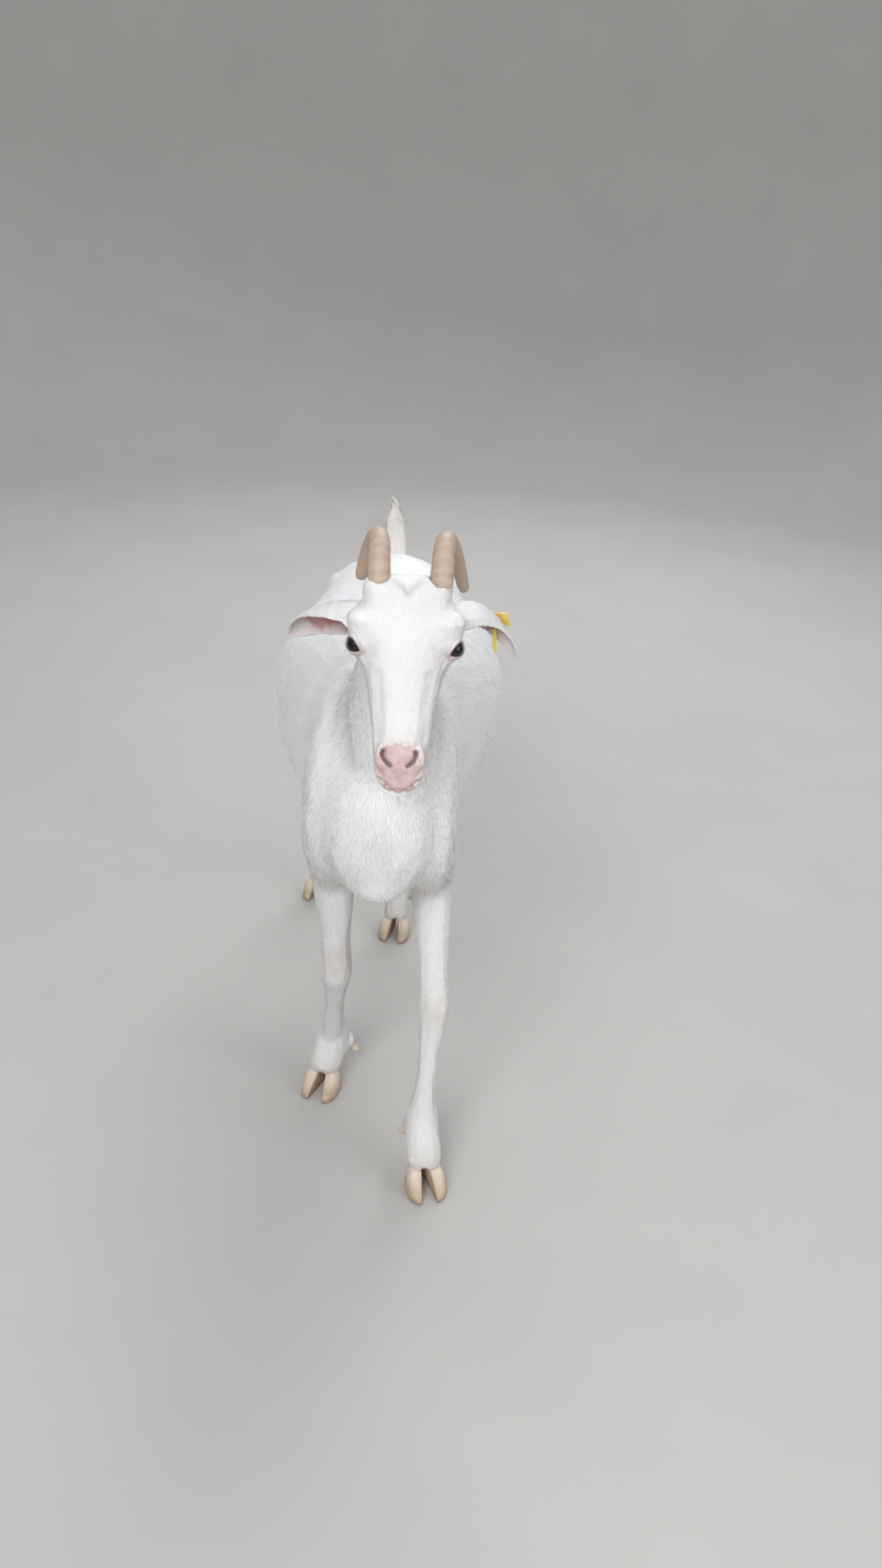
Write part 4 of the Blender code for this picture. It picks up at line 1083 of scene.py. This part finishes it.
class Finish:
    """A material under construction: short calls for its nodes and links."""

    def __init__(self, name, roughness, **sockets):
        self.material = bpy.data.materials.new(name)
        self.material.use_nodes = True
        self.tree = self.material.node_tree
        self.shader = self.tree.nodes["Principled BSDF"]
        self.shader.inputs["Roughness"].default_value = roughness
        for key, value in sockets.items():
            self.shader.inputs[key.replace("_", " ")].default_value = value

    def node(self, kind, links=(), **settings):
        made = self.tree.nodes.new(kind)
        for key, value in settings.items():
            if hasattr(made, key):
                setattr(made, key, value)
            else:
                made.inputs[key.replace("_", " ")].default_value = value
        for socket, source in dict(links).items():
            self.tree.links.new(source, made.inputs[socket])
        return made

    def coordinates(self):
        return self.node("ShaderNodeTexCoord").outputs["Object"]

    def noise(self, scale, detail=3.0):
        links = {"Vector": self.coordinates()}
        return self.node("ShaderNodeTexNoise", links, Scale=scale, Detail=detail).outputs["Fac"]

    def math(self, operation, a, b=0.0):
        made = self.node("ShaderNodeMath", operation=operation)
        for socket, value in zip(made.inputs, (a, b)):
            if isinstance(value, bpy.types.NodeSocket):
                self.tree.links.new(value, socket)
            else:
                socket.default_value = value
        return made.outputs[0]

    def mix(self, share, a, b):
        """Two colours mixed. Each may be a colour or a socket."""
        made = self.node("ShaderNodeMix", data_type="RGBA")
        for name, value in (("Factor", share), ("A", a), ("B", b)):
            kind = "VALUE" if name == "Factor" else "RGBA"
            socket = [i for i in made.inputs if i.name == name and i.type == kind][0]
            if isinstance(value, bpy.types.NodeSocket):
                self.tree.links.new(value, socket)
            elif kind == "RGBA":
                socket.default_value = (*value, 1)
            else:
                socket.default_value = value
        return [o for o in made.outputs if o.type == "RGBA"][0]

    def band(self, value, low, high):
        """A value from 0 at low to 1 at high."""
        return self.node("ShaderNodeMapRange", {"Value": value}, From_Min=low, From_Max=high).outputs[0]

    def colour(self, socket):
        self.tree.links.new(socket, self.shader.inputs["Base Color"])

    def rough(self, value, low, high):
        made = self.node("ShaderNodeMapRange", {"Value": value}, To_Min=low, To_Max=high)
        self.tree.links.new(made.outputs[0], self.shader.inputs["Roughness"])

    def bump(self, height, strength, distance):
        made = self.node("ShaderNodeBump", {"Height": height}, Strength=strength, Distance=distance)
        self.tree.links.new(made.outputs[0], self.shader.inputs["Normal"])

    def attribute(self, name):
        return self.node("ShaderNodeAttribute", attribute_name=name)


WHITE = (0.86, 0.858, 0.856)
WARM_WHITE = (0.82, 0.785, 0.745)
CREAM = (0.62, 0.50, 0.36)
PINK = (0.52, 0.225, 0.195)
# grey marks, and painted shade in the nostrils, the mouth and the roots of the ears
GREY_AND_SHADE = (0.10, 0.075, 0.075)
# darker hair: a random tone from tuft to tuft, and painted shade at the tufts' roots
HAIR_SHADE = (0.45, 0.40, 0.36)


def coat_colour(finish):
    """White with the pink, cream and grey markings, and the painted shade in the nostrils, the mouth and the
    roots of the ears, the same on skin and hair.
    """
    marks = finish.attribute("marks")
    parts = finish.node("ShaderNodeSeparateColor", {"Color": marks.outputs["Color"]})
    patchy = finish.band(finish.noise(9.0, detail=2.0), 0.40, 0.75)
    base = finish.mix(finish.math("MULTIPLY", patchy, 0.45), WHITE, WARM_WHITE)
    base = finish.mix(parts.outputs["Green"], base, CREAM)
    base = finish.mix(parts.outputs["Red"], base, PINK)
    # the blue share darkens to grey: grey marks, and painted shade in the nostrils, the mouth and the ear
    # roots
    return finish.mix(parts.outputs["Blue"], base, GREY_AND_SHADE), marks


def skin_material():
    """Matt skin with fine grain and folds under the hair."""
    finish = Finish("skin", 0.62, Sheen_Weight=0.15, Sheen_Roughness=0.5)
    colour, _ = coat_colour(finish)
    finish.colour(colour)
    fine = finish.noise(900.0, detail=2.0)
    folds = finish.noise(160.0, detail=4.0)
    height = finish.math("ADD", fine, finish.math("MULTIPLY", folds, 1.5))
    finish.bump(height, strength=0.35, distance=0.0008)
    return finish.material


def hair_material():
    """The coat's colour, darker from tuft to tuft at random, and with painted shade at the roots of the
    tufts.
    """
    finish = Finish("hair", 0.55, Sheen_Weight=0.25, Sheen_Roughness=0.45)
    colour, marks = coat_colour(finish)
    tip = finish.attribute("tip").outputs["Fac"]
    shade = finish.math("MULTIPLY", marks.outputs["Alpha"], 0.07)
    # painted shade: each tuft darkens towards its root, under the hair that lies over it
    root = finish.math("MULTIPLY", finish.math("SUBTRACT", 1.0, tip), 0.04)
    finish.colour(finish.mix(finish.math("ADD", shade, root), colour, HAIR_SHADE))
    return finish.material


HORN_LOW, HORN_HIGH = (0.52, 0.385, 0.30), (0.37, 0.262, 0.20)
HORN_RING, HORN_COLLAR, HORN_STREAK = (0.24, 0.18, 0.13), (0.66, 0.55, 0.46), (0.62, 0.51, 0.40)


def horn_material():
    """Tan horn, darker towards the tip and between its rings, pale at the root, with fine streaks."""
    finish = Finish("horn", 0.55)
    along = finish.attribute("along").outputs["Fac"]
    streak = finish.noise(220.0, detail=4.0)
    tan = finish.mix(finish.band(along, 0.1, 1.0), HORN_LOW, HORN_HIGH)
    ring = finish.attribute("ring").outputs["Fac"]
    tan = finish.mix(finish.math("MULTIPLY", ring, 0.5), tan, HORN_RING)
    tan = finish.mix(finish.band(along, 0.24, 0.06), tan, HORN_COLLAR)
    finish.colour(finish.mix(finish.math("MULTIPLY", streak, 0.40), tan, HORN_STREAK))
    finish.rough(streak, 0.40, 0.70)
    finish.bump(finish.math("ADD", streak, finish.noise(1100.0)), strength=0.35, distance=0.0006)
    return finish.material


HOOF_LIGHT, HOOF_DARK, HOOF_RING = (0.56, 0.42, 0.30), (0.38, 0.27, 0.19), (0.68, 0.57, 0.44)
HOOF_TOP, HOOF_SOLE = (0.76, 0.68, 0.57), (0.27, 0.19, 0.14)


def hoof_material():
    """Patchy, ringed claw horn, pale under the hair line and dark at the ground."""
    finish = Finish("hoof", 0.5)
    place = finish.coordinates()
    ring = finish.node(
        "ShaderNodeTexWave", {"Vector": place}, bands_direction="Z", Scale=120.0, Distortion=2.5, Detail=2.0,
        Detail_Scale=3.0,
    ).outputs["Fac"]
    patchy = finish.noise(45.0)
    tan = finish.mix(finish.band(patchy, 0.3, 0.75), HOOF_LIGHT, HOOF_DARK)
    tan = finish.mix(finish.math("MULTIPLY", ring, 0.18), tan, HOOF_RING)
    height = finish.node("ShaderNodeSeparateXYZ", {"Vector": place}).outputs["Z"]
    top = finish.math("MULTIPLY", finish.band(height, 0.014, 0.034), finish.band(height, 0.060, 0.048))
    tan = finish.mix(finish.math("MULTIPLY", top, 0.75), tan, HOOF_TOP)
    finish.colour(finish.mix(finish.band(height, 0.009, 0.0), tan, HOOF_SOLE))
    finish.rough(patchy, 0.42, 0.72)
    finish.bump(finish.math("ADD", ring, finish.noise(900.0)), strength=0.22, distance=0.0005)
    return finish.material


IRIS_DARK, IRIS_BROWN, IRIS_RIM = (0.010, 0.008, 0.009), (0.026, 0.018, 0.014), (0.006, 0.006, 0.010)
PUPIL, EYE_WHITE = (0.002, 0.002, 0.004), (0.05, 0.03, 0.03)
PUPIL_LONG, PUPIL_SHORT = 0.44, 0.16  # half its length and height, as shares of the ball's radius


def eye_material():
    """A dark iris with a level, rounded slot for a pupil."""
    finish = Finish("eye", 0.03, IOR=1.4)
    spot = finish.node("ShaderNodeSeparateXYZ", {"Vector": finish.attribute("gaze").outputs["Vector"]})
    a, b = spot.outputs["X"], spot.outputs["Y"]
    squares = finish.math("ADD", finish.math("MULTIPLY", a, a), finish.math("MULTIPLY", b, b))
    reach = finish.math("SQRT", squares)
    streak = finish.noise(700.0, detail=4.0)
    iris = finish.mix(streak, IRIS_DARK, IRIS_BROWN)
    iris = finish.mix(finish.band(reach, 0.50, 0.72), iris, IRIS_RIM)
    long_way = finish.math("POWER", finish.math("DIVIDE", finish.math("ABSOLUTE", a), PUPIL_LONG), 4.0)
    short_way = finish.math("POWER", finish.math("DIVIDE", finish.math("ABSOLUTE", b), PUPIL_SHORT), 2.0)
    pupil = finish.band(finish.math("ADD", long_way, short_way), 1.15, 0.85)
    eye = finish.mix(pupil, iris, PUPIL)
    finish.colour(finish.mix(finish.band(reach, 0.82, 0.88), eye, EYE_WHITE))
    return finish.material


TAG_YELLOW, TAG_WORN, TAG_DUST = (0.88, 0.66, 0.07), (0.74, 0.50, 0.06), (0.70, 0.58, 0.30)


def tag_material():
    """Yellow plastic, worn and a little dusty."""
    finish = Finish("tag", 0.38, Subsurface_Weight=0.15, Subsurface_Scale=0.004)
    scuffs = finish.noise(120.0, detail=5.0)
    yellow = finish.mix(finish.band(scuffs, 0.35, 0.80), TAG_YELLOW, TAG_WORN)
    finish.colour(finish.mix(finish.band(finish.noise(35.0), 0.50, 0.85), yellow, TAG_DUST))
    finish.rough(scuffs, 0.30, 0.60)
    finish.bump(finish.noise(600.0), strength=0.20, distance=0.0003)
    return finish.material


FLOOR_DARK, FLOOR_PALE = (0.44, 0.42, 0.40), (0.50, 0.48, 0.455)


def floor_material():
    finish = Finish("floor", 0.85)
    finish.colour(finish.mix(finish.noise(3.0), FLOOR_DARK, FLOOR_PALE))
    return finish.material
    return finish.material


def wear(obj, material):
    obj.data.materials.clear()
    obj.data.materials.append(material)


# ---------------------------------------------------------------- hard pieces

def smooth_copy(node, name, voxel, rounds):
    """A fine, even copy of a solid, with its facets smoothed away."""
    obj = copy_of(node, name)
    remeshed(obj, voxel)
    relax(obj.data, 1.0, rounds)
    return obj


HORN_RINGS, RING_HEIGHT, HORN_UNEVEN = 21, 0.00040, 0.00010
HORN_LOST = 0.0005  # what the smoothing takes off a horn
HORN_START, HORN_SWEEP = 0.9, math.pi + 1.6  # radians: the rings start this far under the bend, and run on


def build_horn(side):
    """A curved, blunt horn with faint growth rings that fade towards the tip."""
    horn = smooth_copy(f"horn_{side}", f"horn_shell_{side}", voxel=0.0011, rounds=6)
    low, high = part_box(f"horn_{side}")
    soften(horn.data, [(middle(f"horn_{side}"), 1.0)], ROUNDING_ROUNDS)
    places, normals = places_of(horn.data), normals_of(horn.data)
    places += normals * HORN_LOST
    bend = np.array([0, (low.y + high.y) / 2, high.z - (high.y - low.y) / 2])
    away = places - bend
    angle = np.arctan2(away[:, 2], -away[:, 1])
    angle = np.where(angle < -math.pi / 2, angle + 2 * math.pi, angle)
    share = np.clip((angle + HORN_START) / HORN_SWEEP, 0, 1)
    phase = (share + 0.010 * waves(places, 0.030, 31)) * HORN_RINGS * (1 - 0.20 * share)
    ring = 0.5 + 0.5 * np.cos(2 * math.pi * phase)
    fade = smoothstep(0.90, 0.40, share) * (0.7 + 0.3 * waves(places, 0.025, 33))
    height = RING_HEIGHT * ring**2 * fade + HORN_UNEVEN * waves(places, 0.007, 32)
    set_places(horn.data, places + normals * height[:, None])
    put_attribute(horn.data, "along", "FLOAT", share)
    put_attribute(horn.data, "ring", "FLOAT", np.clip((1 - ring) * fade, 0, 1))
    modified(horn, "DECIMATE", ratio=0.6)
    horn.data.shade_smooth()
    return horn


CLAW_RING, CLAW_RING_HEIGHT, CLAW_RING_SLOPE = 0.0042, 0.00025, 0.20


def build_claw(node):
    """One claw of a foot, with rings round its wall and a flat sole."""
    claw = smooth_copy(node, f"{node}_horn", voxel=0.0010, rounds=6)
    places, normals = places_of(claw.data), normals_of(claw.data)
    wall = 1 - np.abs(normals[:, 2])
    slope = places[:, 2] + CLAW_RING_SLOPE * (places[:, 1] - middle(node).y)
    rings = CLAW_RING_HEIGHT * np.sin(slope * 2 * math.pi / CLAW_RING + 0.8 * waves(places, 0.02, 41))
    places += normals * (rings * wall)[:, None]
    places[:, 2] = np.maximum(places[:, 2], 0.0)
    set_places(claw.data, places)
    modified(claw, "DECIMATE", ratio=0.35)
    claw.data.shade_smooth()
    return claw


def build_dewclaw(node):
    dewclaw = smooth_copy(node, f"{node}_horn", voxel=0.0010, rounds=4)
    dewclaw.data.shade_smooth()
    return dewclaw


CORNEA_BULGE, CORNEA_REACH = 0.0007, math.radians(38)
BACK_OF_BALL = 5.0  # carries the back half of the ball out of the iris


def build_eye(side):
    """A ball with a slightly bulging cornea."""
    centre, radius, gaze, along, across = eye_frame(side)
    bpy.ops.object.select_all(action="DESELECT")
    bpy.ops.mesh.primitive_uv_sphere_add(segments=64, ring_count=40, radius=radius, location=centre)
    ball = bpy.context.object
    ball.name = f"eyeball_{side}"
    bpy.ops.object.transform_apply(location=True, rotation=True, scale=True)
    places = places_of(ball.data)
    way = unit(places - np.array(centre))
    angle = np.arccos(np.clip(way @ np.array(gaze), -1, 1))
    bulge = CORNEA_BULGE * np.clip(1 - (angle / CORNEA_REACH) ** 2, 0, 1)
    set_places(ball.data, places + way * bulge[:, None])
    flat = np.stack([way @ np.array(along), way @ np.array(across), way @ np.array(gaze)], 1)
    flat[:, :2] *= np.where(flat[:, 2:] > 0, 1.0, BACK_OF_BALL)
    put_attribute(ball.data, "gaze", "FLOAT_VECTOR", flat)
    ball.data.shade_smooth()
    return ball


TAG_EDGES = {"tag_panel": 0.0006, "tag_stud": 0.0006, "tag_pin": 0.0003}  # width of the rounded edges
TAG_CORNER = math.radians(40)  # edges sharper than this are rounded


def build_plate(node, soft):
    """A moulded copy of a part of the tag, with rounded edges."""
    plate = copy_of(node, f"{node}_moulding")
    edited(plate, lambda: bpy.ops.mesh.dissolve_limited(angle_limit=math.radians(4)))
    modified(plate, "BEVEL", width=soft, segments=3, limit_method="ANGLE", angle_limit=TAG_CORNER)
    alone(plate)
    bpy.ops.object.shade_smooth_by_angle(angle=TAG_CORNER)
    return plate


# ---------------------------------------------------------------- stage

FLOOR_RADIUS, COVE_RADIUS, COVE_STEPS, WALL_TOP = 3.6, 1.4, 12, 4.6
FLOOR_DROP = 0.0002  # the floor lies this far under the soles
STUDIO, STUDIO_STRENGTH = (0.91, 0.95, 1.0, 1), 0.80
LAMP_COLOUR = (0.95, 0.975, 1.0)
LAMPS = {  # place, width and power
    "key": ((-0.9, -2.9, 2.5), 1.8, 76),
    "fill": ((2.4, -1.6, 1.4), 2.0, 26),
    "back": ((0.6, 2.6, 2.8), 2.0, 60),
}
CAMERA_PLACE = (0.0206, -1.6242, 1.33)
CAMERA_RIGHT, CAMERA_AHEAD = (0.9983, -0.0085, 0.0574), (0.0346, 0.8816, -0.4708)
CAMERA_LENS, CAMERA_SENSOR = 28.125, 36


def build_floor():
    """A pale floor that curves up into a wall all round."""
    bpy.ops.object.select_all(action="DESELECT")
    profile = [(0.0, 0.0), (FLOOR_RADIUS, 0.0)]
    for k in range(1, COVE_STEPS + 1):
        turn = math.pi / 2 * k / COVE_STEPS
        across, up = COVE_RADIUS * math.sin(turn), COVE_RADIUS - COVE_RADIUS * math.cos(turn)
        profile.append((FLOOR_RADIUS + across, up))
    profile.append((FLOOR_RADIUS + COVE_RADIUS, WALL_TOP))
    mesh = bpy.data.meshes.new("floor")
    steps = [(k, k + 1) for k in range(len(profile) - 1)]
    mesh.from_pydata([(x, 0, z - FLOOR_DROP) for x, z in profile], steps, [])
    floor = bpy.data.objects.new("floor", mesh)
    bpy.context.scene.collection.objects.link(floor)
    modified(floor, "SCREW", steps=96, render_steps=96, merge_threshold=0.00001, use_merge_vertices=True)
    edited(floor, lambda: bpy.ops.mesh.normals_make_consistent(inside=True))
    floor.data.shade_smooth()
    wear(floor, floor_material())


def build_lights():
    """A soft studio sky and three broad lamps that face the goat."""
    world = bpy.data.worlds.new("studio")
    bpy.context.scene.world = world
    world.use_nodes = True
    sky = world.node_tree.nodes["Background"].inputs
    sky["Color"].default_value = STUDIO
    sky["Strength"].default_value = STUDIO_STRENGTH
    aim = (cad_box[0] + cad_box[1]) / 2
    for name, (place, size, power) in LAMPS.items():
        bpy.ops.object.light_add(type="AREA", location=place)
        light = bpy.context.object
        light.name = name
        light.data.shape = "DISK"
        light.data.size = size
        light.data.energy = power
        light.data.color = LAMP_COLOUR
        light.rotation_euler = (aim - light.location).to_track_quat("-Z", "Y").to_euler()
        light.visible_camera = False
    bpy.context.scene.view_settings.view_transform = "Standard"


def build_camera():
    """The camera stands before the goat, at the height of a person's chest, and looks down on it."""
    forward = Vector(CAMERA_AHEAD).normalized()
    right = Vector(CAMERA_RIGHT)
    right = (right - forward * right.dot(forward)).normalized()
    up = right.cross(forward)
    bpy.ops.object.camera_add()
    camera = bpy.context.object
    turn = Matrix((right, up, -forward)).transposed().to_4x4()
    camera.matrix_world = Matrix.Translation(CAMERA_PLACE) @ turn
    camera.data.sensor_width = CAMERA_SENSOR
    camera.data.lens = CAMERA_LENS
    bpy.context.scene.camera = camera


# ---------------------------------------------------------------- the whole goat

def settled(obj, material, slot, *stands_for):
    """Gives a finished piece its material and body, and hides the solids that it stands for. The slot is not
    used.
    """
    wear(obj, material)
    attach(obj, "root")
    if stands_for:
        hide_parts(*stands_for)


skin = build_skin()
skin_mesh = skin.data
skin_places = places_of(skin_mesh)
skin_parts = parts_at(skin_places)
skin_coat = coat_shares(skin_places, skin_parts, edges_of(skin_mesh))
skin_marks, skin_bare = markings(Clay(skin_mesh), skin_parts)
put_attribute(skin_mesh, "marks", "FLOAT_COLOR", np.column_stack([skin_marks, np.full(len(skin_marks), 0.5)]))
for layer in list(skin_mesh.uv_layers):
    skin_mesh.uv_layers.remove(layer)
skin_mesh.uv_layers.new(name="OFBake")
edited(skin, lambda: bpy.ops.uv.smart_project(angle_limit=math.radians(66), island_margin=0.003))
hairs = grow_coat(skin, skin_parts, skin_coat, lie_of_hair(skin, skin_parts), skin_marks, skin_bare)
settled(skin, skin_material(), "coat", *FLESH)
hair = hair_material()
for tuft in hairs:
    settled(tuft, hair, "coat")

horn_finish, hoof_finish = horn_material(), hoof_material()
eye_finish, tag_finish = eye_material(), tag_material()
for side in SIDES:
    settled(build_horn(side), horn_finish, "horn", f"horn_{side}")
    settled(build_eye(side), eye_finish, "eye", f"eye_{side}")
for foot in FEET:
    for claw in ("inner", "outer"):
        settled(build_claw(f"claw_{foot}_{claw}"), hoof_finish, "hoof", f"claw_{foot}_{claw}")
        settled(build_dewclaw(f"dewclaw_{foot}_{claw}"), hoof_finish, "hoof", f"dewclaw_{foot}_{claw}")
for node, soft in TAG_EDGES.items():
    settled(build_plate(node, soft), tag_finish, "tag", node)

build_floor()
build_lights()
build_camera()
